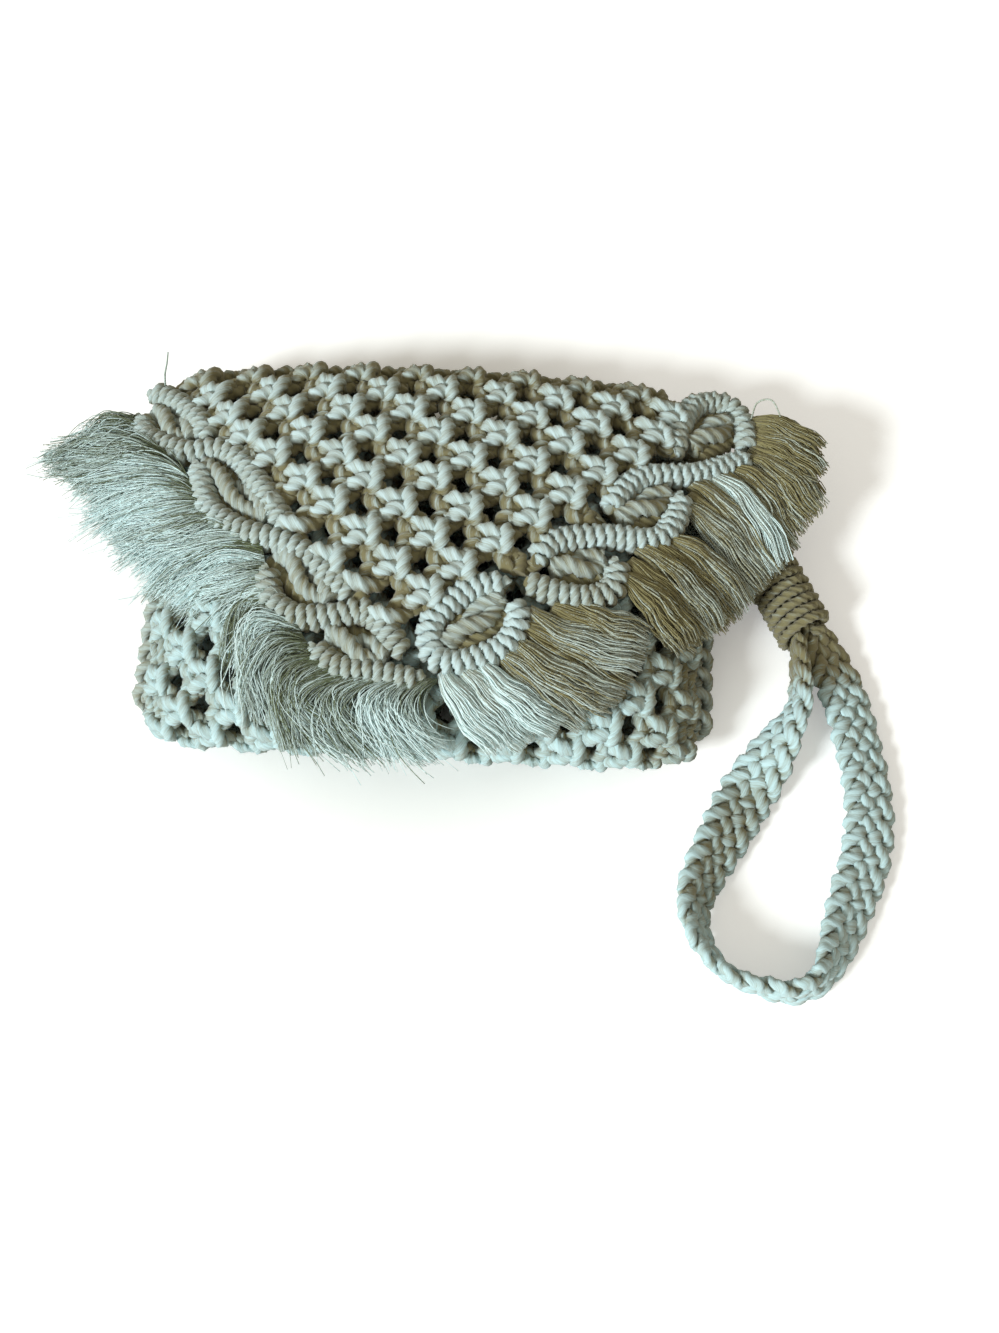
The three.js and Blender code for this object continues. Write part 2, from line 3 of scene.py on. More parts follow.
import bpy
import numpy as np
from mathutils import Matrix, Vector


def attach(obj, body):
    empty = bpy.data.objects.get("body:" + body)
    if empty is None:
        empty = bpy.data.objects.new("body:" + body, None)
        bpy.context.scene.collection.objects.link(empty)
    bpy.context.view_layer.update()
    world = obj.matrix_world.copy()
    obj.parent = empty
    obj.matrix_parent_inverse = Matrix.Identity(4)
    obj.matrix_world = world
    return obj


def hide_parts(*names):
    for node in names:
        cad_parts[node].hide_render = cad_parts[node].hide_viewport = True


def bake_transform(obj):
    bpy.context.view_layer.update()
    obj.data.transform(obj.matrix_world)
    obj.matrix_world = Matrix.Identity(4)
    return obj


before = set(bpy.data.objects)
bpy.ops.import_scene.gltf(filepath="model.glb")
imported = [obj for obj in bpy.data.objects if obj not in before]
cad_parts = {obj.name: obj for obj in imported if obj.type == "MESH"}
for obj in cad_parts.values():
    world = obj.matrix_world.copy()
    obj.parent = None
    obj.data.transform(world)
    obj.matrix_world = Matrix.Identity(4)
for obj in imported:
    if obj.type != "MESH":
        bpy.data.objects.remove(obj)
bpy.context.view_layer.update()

# Sizes are millimetres in the frame of the imported part, and become metres when a mesh is made.
# A tone is painted shade: 0 where the cotton is pale and lit, 1 where it is shaded. A pair named limits goes
# to smooth_step.
METRES = 0.001
UP = np.array([0.0, 0.0, 1.0])
WHITE = (1, 1, 1, 1)
rng = np.random.default_rng(seed=11)

# Camera, as the photograph was taken
PHOTO_HEIGHT = 1333
FOCAL_PIXELS = 1715
SENSOR_WIDTH = 36
CAMERA_ELEVATION = math.radians(68)
CAMERA_HEADING = math.radians(-3)
CAMERA_DISTANCE = 700
CAMERA_TARGET = (31, -45, 20)

# Light: a window at the front left, a weak warm light all round, and a floor that is seen white
WINDOW = np.array([-0.62, -0.55, 0.56])
WINDOW_STRENGTH = 2.85
WINDOW_SOFTNESS = math.radians(14)
WINDOW_COLOUR = (0.94, 1.0, 1.01)
ROOM_STRENGTH = 0.47
ROOM_COLOUR = (1.0, 0.94, 0.8, 1)
FLOOR_REACH = 3000
FLOOR_COLOUR = (0.8, 0.8, 0.78, 1)
FLOOR_GLOW = 0.3
FLOOR_DARK_RADIUS = 90
FLOOR_GLOW_RADIUS = 140

# Cotton, in linear colour: pale where lit, and shaded colours that the tone mixes in as painted shade
PALE_COTTON = (0.585, 0.735, 0.755)
# Painted light: the bag's body and the band get a cooler lit colour, as they were lit more coolly than the
# flap
COOL_LIT_COTTON = (0.56, 0.765, 0.8)
SHADED_COTTON = (0.225, 0.2, 0.1)
PALE_FRINGE = (0.77, 0.95, 0.96)
SHADED_FRINGE = (0.25, 0.22, 0.095)
SHADED_FLUFF = (0.12, 0.15, 0.065)
COTTON_FINISH = {"Roughness": 0.92, "Specular IOR Level": 0.15, "Sheen Weight": 0.25, "Sheen Roughness": 0.6}

# Fibres: their height and tone, then for each cotton their closeness along and round the cord, the tone of
# soft blotches and the strength of the relief
FIBRE_HEIGHT = 0.3
FIBRE_TONE = 1.2
CORD_FIBRES = (0.35, 6, 0.5, 0.8)
BAND_FIBRES = (0.3, 7, 0.5, 0.8)
TUFT_FIBRES = (0.1, 1, 0.4, 0.2)
FLUFF_FIBRES = (0.1, 1, 0.5, 0.2)

# Cord of three plies, shaded between them and on the sides that face away from the window
CORD_RADIUS = 3.05
CORD_LAY = 13
CORD_SIDES = 12
PLIES = 3
PLY_DEPTH = 0.16
PLY_TONE = 0.34
AWAY_TONE = 0.5
AWAY_LIMITS = (0.62, -0.35)
FACING_DOWN_LIMITS = (-1.0, -0.3)

# Folded sheet of the bag and flap, through the middle of the mat
MAT_HALF = 4.25
HALF_WIDTH = 112
BACK_HALF = 62
MOUTH_Y = 50
BOTTOM_DEPTH = 20
BOTTOM_HALF_RISE = 19.4
BOTTOM_JOIN = math.radians(78)
BOTTOM_CORNER_DEPTH = 9
BOTTOM_CORNER_POWER = 8
FRONT_CROWN_Y = -24
FRONT_ARC_GAIN = 1.2
BODY_SIDE_SHARE = 0.358
BODY_SIDE_POWER = 5
BODY_SIDE_REACH = 1.1
FOLD_DEPTH = 21
FOLD_JOIN = math.radians(66)
FOLD_BOW = 5
FLAP_OVER_FRONT = 10.9
FLAP_CROWN_Y = -22
FLAP_END_Y = -75
FLAP_SIDE_SHARE = 0.75
FLAP_SIDE_POWER = 2.4
FLAP_WIDENING = 34
PROFILE_POINTS = 400
FOLD_START_POINT = 3 * PROFILE_POINTS
FLAP_START_POINT = 4 * PROFILE_POINTS
ARC_POINTS = 200
BEND_STEP = 0.05

# How far the knots stand out: pressed where the bag rests, fuller with the rise, and less inside
REST_FULLNESS = 0.54
FRONT_FULLNESS = 0.82
INSIDE_FULLNESS = 0.75
FULLNESS_LIMITS = (2, 20)

# Knots: four cords to a knot, every second row shifted by half a knot
KNOT_CORDS = 4
KNOTS_ACROSS = 10
CORD_COUNT = KNOT_CORDS * KNOTS_ACROSS
KNOT_PITCH = 26.4
ROW_PITCH = 12.7
SHEET_HALF = KNOTS_ACROSS * KNOT_PITCH / 2
FLAP_EVEN_ROW_Y = 56
ROWS_FROM_EVEN_ROW = 12
MOUTH_TO_FIRST_ROW = 5
KNOT_STRETCH = (1.05, 1.15, 0.85)
KNOT_TURN_SPREAD = 0.05
KNOT_SIZE_SPREAD = 0.04
KNOT_PLACE_SPREAD = 0.45
EDGE_INSETS = (7, 12)
CORD_STEP = 0.3
UNCUT_PAST_FOLD = 6
CUT_UNDER_RIM = 1.5
FEWEST_POINTS = 4

# Control points of one square knot: across, up the sheet and out of it. The right cord crosses the front
# twice. The left cord passes behind and stands up at the right, and its lower half mirrors the upper one.
RIGHT_CORD = np.array([
    (9.0, 6.6, -1.4), (8.2, 4.8, -0.6), (6.0, 3.0, 0.6), (3.4, 2.0, 3.2), (1.2, 2.0, 4.7),
    (-1.4, 2.8, 5.1), (-3.8, 3.8, 3.8), (-5.2, 3.4, 0.8), (-5.8, 1.6, -1.4), (-6.0, 0, -2.0),
    (-5.8, -1.6, -1.4), (-5.2, -3.4, 0.8), (-3.8, -3.8, 3.6), (-1.4, -2.8, 4.9), (1.2, -2.0, 4.6),
    (3.4, -2.0, 3.2), (6.0, -3.0, 0.6), (8.2, -4.8, -0.6), (9.0, -6.6, -1.4),
])
LEFT_UPPER = np.array([
    (-10.0, 6.4, -1.4), (-9.8, 4.8, -0.2), (-8.6, 2.6, 1.0), (-6.8, 1.0, 0.6), (-4.0, 1.0, -1.8),
    (0, 2.0, -3.4), (2.6, 3.8, -2.2), (4.4, 4.8, 1.4), (4.9, 3.0, 4.8), (5.1, 0, 5.8),
])
LEFT_CORD = np.vstack([LEFT_UPPER, LEFT_UPPER[-2::-1] * (1, -1, 1)])
FILLER_CORD = np.array([(0, 5.0, -0.8), (0, 0, -0.6), (0, -5.0, -0.8)])
FILLER_OFFSET = 2

# Stretches of the sheet from the mouth to the tip: piece, step along its cords and sides round them
SHEET_STRETCHES = [
    ("knots_front", 1.35, 9),
    ("knots_bottom", 1.1, 9),
    ("knots_back", 1.6, 8),
    ("knots_fold", 1.05, 12),
    ("knots_flap", 0.95, 12),
]

# Painted shade of the knots by height, on the bag and on the flap, and on the fold's top and the bag's right
# end
CREST_HEIGHTS = (5.4, 6.0)
HOLLOW_HEIGHTS = (0.8, 2.2)
HOLLOW_SHADES = (0.42, 0.88)
BEHIND_LIMITS = (-7, -1)
FOLD_TOP_SHADE = 0.5
FOLD_TOP_LIMITS = (-12, 0)
FOLD_TOP_END_LIMITS = (2, -8)
FOLD_OUTSIDE_LIMITS = (-3, 0)
RIGHT_END_SHADE = 0.3
RIGHT_END_LIMITS = (80, 115)

# Leaf rims along the flap's edges: centre lines of the wound arms, across and up the bag.
# The outer arm of each leaf runs on as the inner arm of the next.
LEFT_ARMS = [
    [(-124, 70), (-116, 66), (-106, 58), (-99, 50), (-95, 42)],
    [(-127, 56), (-122, 45), (-114, 40), (-104, 35), (-96, 35), (-88, 35), (-80, 30), (-73, 21),
     (-66, 12), (-60, 2), (-55, -5)],
    [(-97, 28), (-93, 16), (-90, 7), (-83, 0), (-75, -5), (-67, -8), (-56, -11), (-46, -17), (-40, -22),
     (-32, -29), (-27, -34)],
    [(-62, -22), (-60, -34), (-53, -41), (-44, -43), (-33, -42), (-26, -40), (-21, -40), (-15, -44),
     (-10, -51), (-6, -56)],
    [(-41, -54), (-35, -60), (-28, -63), (-16, -64), (-6, -66), (2, -66)],
]
RIGHT_ARMS = [
    [(99, 46), (101, 59), (106, 72), (113, 77), (121, 78), (127, 73), (130, 64), (130, 54)],
    [(131, 49), (122, 44), (114, 39), (104, 35), (94, 33), (86, 31), (78, 24), (72, 14)],
    [(102, 24), (99, 12), (94, 3), (86, 0), (75, 0), (66, -1), (56, -3), (48, -7), (44, -14)],
    [(76, -11), (75, -22), (67, -28), (55, -28), (47, -26), (41, -23)],
    [(33, -26), (26, -26), (18, -29), (11, -35), (5, -42), (4, -50), (7, -57), (14, -59), (24, -56),
     (33, -51), (38, -42), (37, -33)],
]
# Painted shade of each arm's cord, one value an arm
LEFT_ARM_SHADES = [0.2, 0.2, 0.15, 0.25, 0.25]
RIGHT_ARM_SHADES = [0.2, -0.05, 0.0, 0.25, -0.1]
RIM_RADIUS = 3.6
RIM_CORD_RADIUS = 2.2
RIM_PITCH = 4.2
RIM_END = 5

# Points of the arms that make the flap's edge: arm, first point and the one after the last
LEFT_EDGE_POINTS = [(0, 1, 5), (1, 5, 11), (2, 7, 11), (3, 7, 10)]
RIGHT_EDGE_POINTS = [(0, 0, 3), (1, 4, 8), (2, 6, 9), (4, 1, 6)]

# Windings: points a turn, least share of the squared radius at the ends, and shade on the underside
WINDING_POINTS = 22
WINDING_LEAST = 0.06
UNDERSIDE_TONE = 0.8
UNDERSIDE_LIMITS = (0.6, -1)
UNDERNEATH_LIMITS = (-1.7, -0.9)

# Pairs of cords lying inside the leaves: their two ends. Two thick cords, painted dark as shade, fill the
# bed under each pair.
LEFT_PAIRS = [
    ((-121, 59), (-102, 43)), ((-95, 28), (-64, 1)), ((-58, -14), (-36, -36)), ((-36, -49), (-12, -58)),
]
RIGHT_PAIRS = [
    ((106, 51), (123, 69)), ((77, 9), (97, 25)), ((50, -17), (71, -11)), ((10, -52), (31, -31)),
]
PAIR_SPREAD = 4.2
PAIR_TURNS = 0.6
PAIR_START_ANGLE = 0.4
PAIR_END_SHARE = 0.12
PAIR_FLATTEN = 0.7
PAIR_RADIUS = 3.3
BED_RADIUS = 4.2
BED_SPREAD = 5.5
BED_DROP = 4

# Strands of the fringe: sides, taper to the tip, and the length and chance start of the fibres' noise
STRAND_SIDES = 3
STRAND_TAPER = 0.7
STRAND_NOISE_LENGTH = 40
STRAND_NOISE_START = 50

# Brushed-out fringe of the left leaves: roots along the rims, tips with their heights, sideways sweep, and
# painted shade from one end to the other
LEFT_FANS = [
    ([(-127, 57), (-125, 46), (-113, 36), (-101, 22)],
     [(-146, 44, 26), (-162, 41, 26), (-165, 35, 26), (-151, 27, 26)], 1, (-0.1, 0.4, 0.0)),
    ([(-101, 22), (-95, 12), (-81, -1)],
     [(-150, 27, 26), (-140, 9, 26), (-127, -4, 27)], -2, (-0.05, -0.05, 0.1)),
    ([(-81, -1), (-65, -13), (-61, -28), (-53, -39)],
     [(-127, -4, 27), (-114, -21, 30), (-94, -34, 36), (-80, -48, 42)], -4, (0.05, 0.0, 0.25)),
    ([(-53, -39), (-41, -57), (-26, -65), (8, -66)],
     [(-76, -56, 45), (-64, -80, 46), (-44, -93, 44), (-18, -98, 42), (14, -93, 43)],
     -11, (0.25, 0.45, -0.25)),
]
FAN_STRANDS = 2050
FAN_CLUMPS = 22
FAN_POINTS = 13
FAN_STRAND_RADII = (0.17, 0.3)
FAN_ROOT_SPREAD = 0.55
FAN_ROOT_LIFTS = (-2.5, 3)
FAN_GATHERING = 0.5
FAN_STRAY_SHARE = 0.16
FAN_STRAY_SPREAD = (5, 5, 2)
FAN_TIP_SPREAD = 1.2

# Differences between the clumps of a fan, and between its strands
CLUMP_REACH = (0.97, 0.09)
STRAND_REACH = (0.7, 1.06)
PLACE_SPREADS = (0.045, 0.02)
BOW_SPREADS = (3.5, 1.6)
CLUMP_LIFT = (0.5, 6)
STRAND_LIFT = (-1, 3)
CLUMP_WAVES = (0.7, 1.5)
WAVES_SPREAD = 0.08
PHASE_SPREAD = 0.07
CLUMP_SWING = (0.8, 3.2)
TONE_SPREADS = (0.2, 0.16)
# Painted shade: towards the roots of each clump, on strands that lie lower, and on a few dark strands that
# stand for the shadows between clumps
CLUMP_ROOT_SHADE = (0.4, 1.6)
LOW_STRAND_SHADE = 0.08
LOW_LIFT = 4
SHADOW_STRAND_TONE = 0.9
SHADOW_STRAND_POWER = 4

# Cord ends of the right leaves: root, tip with its height, width at the tip, sideways bow and painted shade
RIGHT_TUFTS = [
    [((131, 70), (160, 54, 33), 14, 2, 0.95), ((132, 60), (160, 42, 33), 16, 2, 0.9),
     ((131, 50), (158, 25, 32), 18, 3, 0.8)],
    [((122, 43), (150, 16, 28), 16, 4, 0.8), ((113, 37), (143, 2, 31), 15, 4, 0.05),
     ((106, 31), (139, -3, 29), 14, 3, 0.65), ((103, 20), (135, -8, 30), 15, 2, 0.55)],
    [((95, 3), (129, -18, 31), 14, 3, 0.75), ((84, -3), (117, -30, 36), 16, 2, 0.7),
     ((77, -17), (105, -40, 41), 16, 2, 0.9)],
    [((60, -31), (88, -40, 46), 14, -3, 0.7), ((42, -36), (86, -50, 47), 17, -4, 0.5),
     ((37, -48), (76, -68, 46), 16, -3, 0.6), ((24, -58), (54, -80, 47), 14, -2, -0.1),
     ((10, -62), (34, -88, 46), 15, -2, -0.15)],
]
TUFT_STRANDS = 280
TUFT_POINTS = 11
TUFT_STRAND_RADII = (0.24, 0.36)
TUFT_ROOT_RADIUS = 2.6
TUFT_WIDTH_ANGLE = 1.9
TUFT_SWELL = 1.6
TUFT_SWELL_ANGLE = 2.2
TUFT_ARCH_POWER = 0.8
TUFT_ARCH_RISE = 2.5
TUFT_PHASE_SPREAD = 0.06
TUFT_TWIST_TURNS = (2.0, 2.6)
TUFT_WAVE_BESIDE = 0.8
TUFT_WAVE_ABOVE = 0.4
TUFT_REACH = (0.78, 1.06)
# Painted shade inside each tuft and towards its root, a random spread of tone, and the width, drop and
# painted shade of the tufts under
TUFT_CORE_SHADE = 0.3
TUFT_ROOT_SHADE = 0.4
TUFT_TONE_SPREAD = 0.18
UNDER_TUFT_WIDTH = 16
UNDER_TUFT_DROP = (0, 0, 3)
UNDER_TUFT_SHADE = 0.25

# Loose threads that stand off the first leaf of each side
LEFT_THREADS = [
    [(-118.4, 71.5, 33), (-118, 74.1, 38), (-116.6, 76.9, 43), (-115.8, 79.9, 47)],
    [(-144.6, 40.8, 30), (-155.5, 45, 30), (-165, 44.1, 29)],
]
RIGHT_THREADS = [
    [(132, 68.6, 33), (134, 74.1, 37), (139.7, 74.7, 39), (143.5, 70.3, 36), (145, 68, 31)],
    [(118, 40, 34), (131, 35, 38), (140, 24, 37), (137, 12, 34), (131, 8, 32)],
]
THREAD_RADIUS = 0.5
# Painted shade of the threads
THREAD_SHADE = 0.6

# Wrist strap: cords from the seam's knot, and the gathering cord wound round them
STRAP_ANCHOR = np.array([121.3, 24.0, 5.2])
STRAP_HEADING = math.radians(-62)
STRAP_FORWARD = np.array([math.cos(STRAP_HEADING), math.sin(STRAP_HEADING), 0.0])
STRAP_SIDEWAYS = np.array([-STRAP_FORWARD[1], STRAP_FORWARD[0], 0.0])
STRAP_AXIS_Z = 12.5
TAIL_REACH = 14
TAIL_SIDE = 11
TAIL_ROOT = (-6, 3, 0)
TAIL_BEND_SHARE = (0.5, 0.5, 0)
TAIL_TUCK = 8
TAIL_CORDS = 6
TAIL_CORD_RADIUS = 2.3
TAIL_SEAM_RADIUS = 2.5
TAIL_WRAP_RADIUS = 5.5
TAIL_WIDENING_LIMITS = (8, 30)
TAIL_TWIST = 90
WRAP_RADIUS = 10.3
WRAP_CORD_RADIUS = 2.15
WRAP_PITCH = 4.45
WRAP_TURNS = 9
WRAP_SPARE = 4
WRAP_END = 2.4

# Braided band of the strap: a flat braid that leaves the wrap narrowed and lies round as a loop
BAND_WIDTH = 24
BAND_HALF_THICKNESS = 3.5
BAND_ABOVE_FLOOR = 0.2
BAND_TUCK = 6
BAND_TUCKED_WIDTH = 11
BAND_NECK_WIDTH = 18
BAND_NECK_LIMITS = (-3, 4)
BAND_FLARE = 22
BAND_FLATTEN = 0.62
BAND_STRANDS = 5
BAND_PERIOD = 48
BAND_STRAND_RADIUS = 2.95
BAND_STRAND_LIFT = 2.75
BAND_END_TRIM = 0.5

# Painted shade of the band: between its strands, on the loop's inner face by the roll, and at the wrap
BAND_TONE = -0.1
BRAID_HOLLOW_SHADE = 0.5
BRAID_DEPTH_LIMITS = (4.2, 0.5)
BRAID_EDGE_LIMITS = (12, 8)
INNER_FACE_SHADE = 0.4
INNER_START_LIMITS = (20, 45)
INNER_END_LIMITS = (105, 80)
INNER_EDGE_LIMITS = (11, 6)
BAND_ROOT_SHADE = 0.95
BAND_ROOT_LIMITS = (38, 14)

# Route of the band from the end of the wrap: x and y, then its roll in degrees from standing on edge
BAND_ROUTE = np.array([
    (11.5, -15, -68), (16.5, -29, -68), (19.5, -42, -66), (23, -60, -66), (24, -78, -68),
    (21.5, -95, -66), (15.5, -112, -58), (9.5, -129, -42), (2.5, -143, -18), (-8, -148.4, -4),
    (-19, -147, 4), (-30, -144, 10), (-39, -137, 20), (-45, -126, 28), (-46, -114, 38),
    (-41.5, -101, 50), (-34, -86, 64), (-26.5, -71, 84), (-18, -56, 110), (-11, -43, 140),
    (-4.5, -31, 165), (-3.5, -19, 175),
])

# Where the band's two ends go into the wrap: how far beside its axis, and their roll
BAND_ENDS = [(3.5, -68), (-5.0, 180)]

# Lacing of the side seams
LACING_RADIUS = 2.2
LACING_PITCH = 9
LACING_EDGE_HEIGHTS = (8.0, 15.0)
LACING_REACH = 4.3
LACING_OUTWARD = 0.5
LACING_HALF_HEIGHT = 8.0
LACING_PAST_BACK = 4
LACING_POINTS = 240
LACING_STEP = 1.2

# Holding cord along the mouth of the front
MOUTH_CORD_RADIUS = 2.6
MOUTH_CORD_INSET = 3
MOUTH_CORD_ABOVE_EDGE = 3
MOUTH_CORD_POINTS = 200


def smooth_step(start, end, value):
    """0 before start, 1 after end, and 3t^2 - 2t^3 of the share t between them."""
    share = np.clip((value - start) / (end - start), 0, 1)
    return share * share * (3 - 2 * share)


def between(start, end, share):
    """What lies at a share of the way from start to end."""
    return start + (end - start) * share


def unit(vectors):
    """Each vector over its own length."""
    return vectors / np.linalg.norm(vectors, axis=-1, keepdims=True)


def around(angle, first, second):
    """Directions at angles from the first one towards the second."""
    return np.cos(angle)[..., None] * first + np.sin(angle)[..., None] * second


def tangents(paths):
    """Direction of one path or several at each of their points."""
    return unit(np.gradient(paths, axis=-2))


def lengths_along(path):
    """Running length of a path at each of its points."""
    steps = np.linalg.norm(np.diff(path, axis=0), axis=1)
    return np.concatenate([[0.0], np.cumsum(steps)])


def looked_up(places, run, rows):
    """Rows of an array at places along it, each row lying at its own run."""
    return np.stack([np.interp(places, run, column) for column in rows.T], axis=-1)


def resampled(path, step, fewest=3):
    """The path again, at even steps of about the given length."""
    run = lengths_along(path)
    count = max(fewest, int(round(run[-1] / step)) + 1)
    return looked_up(np.linspace(0, run[-1], count), run, path)


def smooth_path(points, step=1.0, fine=12):
    """Curve through the points at even steps: cubics whose slope at each point is half the way from the
    point before it to the one after it."""
    points = np.asarray(points, float)
    ends = np.vstack([2 * points[0] - points[1], points, 2 * points[-1] - points[-2]])
    before, here, there, after = (ends[i:len(ends) - 3 + i, None] for i in range(4))
    share = np.linspace(0, 1, fine, endpoint=False)[:, None]
    bend = 2 * before - 5 * here + 4 * there - after
    turn = 3 * here - before - 3 * there + after
    curve = here + 0.5 * ((there - before) * share + bend * share ** 2 + turn * share ** 3)
    return resampled(np.vstack([curve.reshape(-1, points.shape[1]), points[-1]]), step)


def add_object(name, data):
    """New object of the scene."""
    item = bpy.data.objects.new(name, data)
    bpy.context.scene.collection.objects.link(item)
    return item


def stand_in(piece, node, body):
    """Makes a piece replace a solid and move with its body."""
    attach(piece, body)
    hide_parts(node)


class Cords:
    """Capped tubes gathered into one mesh. Every vertex keeps its tone and its lay: the length along the
    cord, and the cosine and sine of its place round it."""

    def __init__(self):
        self.points = []
        self.lays = []
        self.tones = []
        self.faces = []
        self.caps = []
        self.count = 0

    def add_rings(self, rings, lay, tone):
        """Adds a batch of tubes of equal length: an array of tube, ring, side and coordinate."""
        index = self.count + np.arange(np.prod(rings.shape[:3])).reshape(rings.shape[:3])
        beside = np.roll(index, -1, axis=2)
        corners = [index[:, :-1], beside[:, :-1], beside[:, 1:], index[:, 1:]]
        self.faces.append(np.stack(corners, axis=-1).reshape(-1, 4))
        self.caps.append(np.concatenate([index[:, 0, ::-1], index[:, -1]]))
        self.points.append(rings.reshape(-1, 3))
        self.lays.append(np.broadcast_to(lay, rings.shape).reshape(-1, 3))
        self.tones.append(np.broadcast_to(tone, rings.shape[:3]).reshape(-1))
        self.count += index.size

    def add(self, path, radius, tone, reference=UP, sides=CORD_SIDES, lay=CORD_LAY, bend=None, start=0.0):
        """Adds one cord along a path. Rings of radius * (1 + depth * cos(3 angle)) lie across the path and
        turn once every lay, so three plies wind round the cord. The tone is a number or a function of the
        rings, bend moves the finished rings, and start is the cord's length before the path."""
        tangent = tangents(path)
        reference = np.broadcast_to(reference, path.shape)
        first = unit(reference - tangent * np.sum(reference * tangent, axis=1, keepdims=True))
        second = np.cross(tangent, first)
        angle = 2 * np.pi * np.arange(sides) / sides
        run = start + lengths_along(path)
        turned = angle + 2 * np.pi * run[:, None] / lay
        bulge = np.cos(PLIES * angle)
        reach = radius * (1 + PLY_DEPTH * bulge)[:, None]
        across = around(turned, first[:, None], second[:, None])
        rings = path[:, None] + reach * across
        lays = np.stack(np.broadcast_arrays(run[:, None], np.cos(angle), np.sin(angle)), axis=-1)
        shade = tone(rings) if callable(tone) else np.full(rings.shape[:2], tone)
        shade = shade + PLY_TONE / 2 * (1 - bulge)
        if bend is not None:
            rings = bend(rings)
        outward = unit(rings - rings.mean(axis=1, keepdims=True))
        away = smooth_step(*AWAY_LIMITS, outward @ unit(WINDOW))
        shade = shade + AWAY_TONE * away * smooth_step(*FACING_DOWN_LIMITS, outward[..., 2])
        self.add_rings(rings[None], lays[None], shade[None])

    def make(self, name, material):
        """The mesh object of everything gathered so far."""
        polygons = self.faces + self.caps
        loops = np.concatenate([polygon.ravel() for polygon in polygons]).astype(np.int32)
        sizes = np.concatenate([np.full(len(polygon), polygon.shape[1]) for polygon in polygons])
        quads = sum(len(face) for face in self.faces)
        mesh = bpy.data.meshes.new(name)
        mesh.vertices.add(self.count)
        mesh.vertices.foreach_set("co", (np.concatenate(self.points) * METRES).astype(np.float32).ravel())
        mesh.loops.add(len(loops))
        mesh.loops.foreach_set("vertex_index", loops)
        mesh.polygons.add(len(sizes))
        mesh.polygons.foreach_set("loop_start", (np.cumsum(sizes) - sizes).astype(np.int32))
        mesh.polygons.foreach_set("use_smooth", np.arange(len(sizes)) < quads)
        mesh.update(calc_edges=True)
        lay = mesh.attributes.new("lay", "FLOAT_VECTOR", "POINT")
        lay.data.foreach_set("vector", np.concatenate(self.lays).astype(np.float32).ravel())
        tone = mesh.attributes.new("tone", "FLOAT", "POINT")
        tone.data.foreach_set("value", np.concatenate(self.tones).astype(np.float32))
        mesh.materials.append(material)
        return add_object(name, mesh)


# Shader nodes
def feed(tree, node, inputs):
    """Gives inputs of a node, by name or number, a value or the output that feeds them."""
    for key, value in inputs.items():
        if isinstance(value, bpy.types.NodeSocket):
            tree.links.new(value, node.inputs[key])
        else:
            node.inputs[key].default_value = value


def add_node(tree, kind, inputs=None, **settings):
    """Outputs of a new shader node with its settings and inputs."""
    node = tree.nodes.new("ShaderNode" + kind)
    for name, value in settings.items():
        setattr(node, name, value)
    feed(tree, node, inputs or {})
    return node.outputs


def add_math(tree, operation, first, second):
    """Output of one operation on two values or outputs."""
    return add_node(tree, "Math", {0: first, 1: second}, operation=operation)[0]


def end_background(tree, output, lighting, seen):
    """Ends a tree: rays of the camera, of gloss and through glass meet what is seen, others the lighting."""
    rays = add_node(tree, "LightPath")
    shown = add_math(tree, "MAXIMUM", rays["Is Camera Ray"], rays["Is Glossy Ray"])
    shown = add_math(tree, "MAXIMUM", shown, rays["Is Transmission Ray"])
    mix = add_node(tree, "MixShader", {0: shown, 1: lighting[0], 2: seen[0]})
    add_node(tree, output, {0: mix[0]})


# Camera, light and floor
def make_camera():
    """Camera that looks at the target as the photograph did."""
    level = math.cos(CAMERA_ELEVATION)
    forward = Vector((
        math.sin(CAMERA_HEADING) * level,
        math.cos(CAMERA_HEADING) * level,
        -math.sin(CAMERA_ELEVATION),
    ))
    data = bpy.data.cameras.new("camera")
    data.sensor_width = SENSOR_WIDTH
    data.lens = SENSOR_WIDTH * FOCAL_PIXELS / PHOTO_HEIGHT
    camera = add_object("camera", data)
    camera.location = (Vector(CAMERA_TARGET) - CAMERA_DISTANCE * forward) * METRES
    camera.rotation_mode = "QUATERNION"
    camera.rotation_quaternion = forward.to_track_quat("-Z", "Y")
    bpy.context.scene.camera = camera


def make_window():
    """Soft distant light from the window's direction."""
    data = bpy.data.lights.new("window", "SUN")
    data.energy = WINDOW_STRENGTH
    data.angle = WINDOW_SOFTNESS
    data.color = WINDOW_COLOUR
    sun = add_object("window", data)
    sun.rotation_mode = "QUATERNION"
    sun.rotation_quaternion = Vector(WINDOW).to_track_quat("Z", "Y")


def make_world():
    """Even light from all round, and white where the background shows."""
    world = bpy.data.worlds.new("studio")
    world.use_nodes = True
    tree = world.node_tree
    tree.nodes.clear()
    light = add_node(tree, "Background", {"Color": ROOM_COLOUR, "Strength": ROOM_STRENGTH})
    white = add_node(tree, "Background", {"Color": WHITE})
    end_background(tree, "OutputWorld", light, white)
    bpy.context.scene.world = world


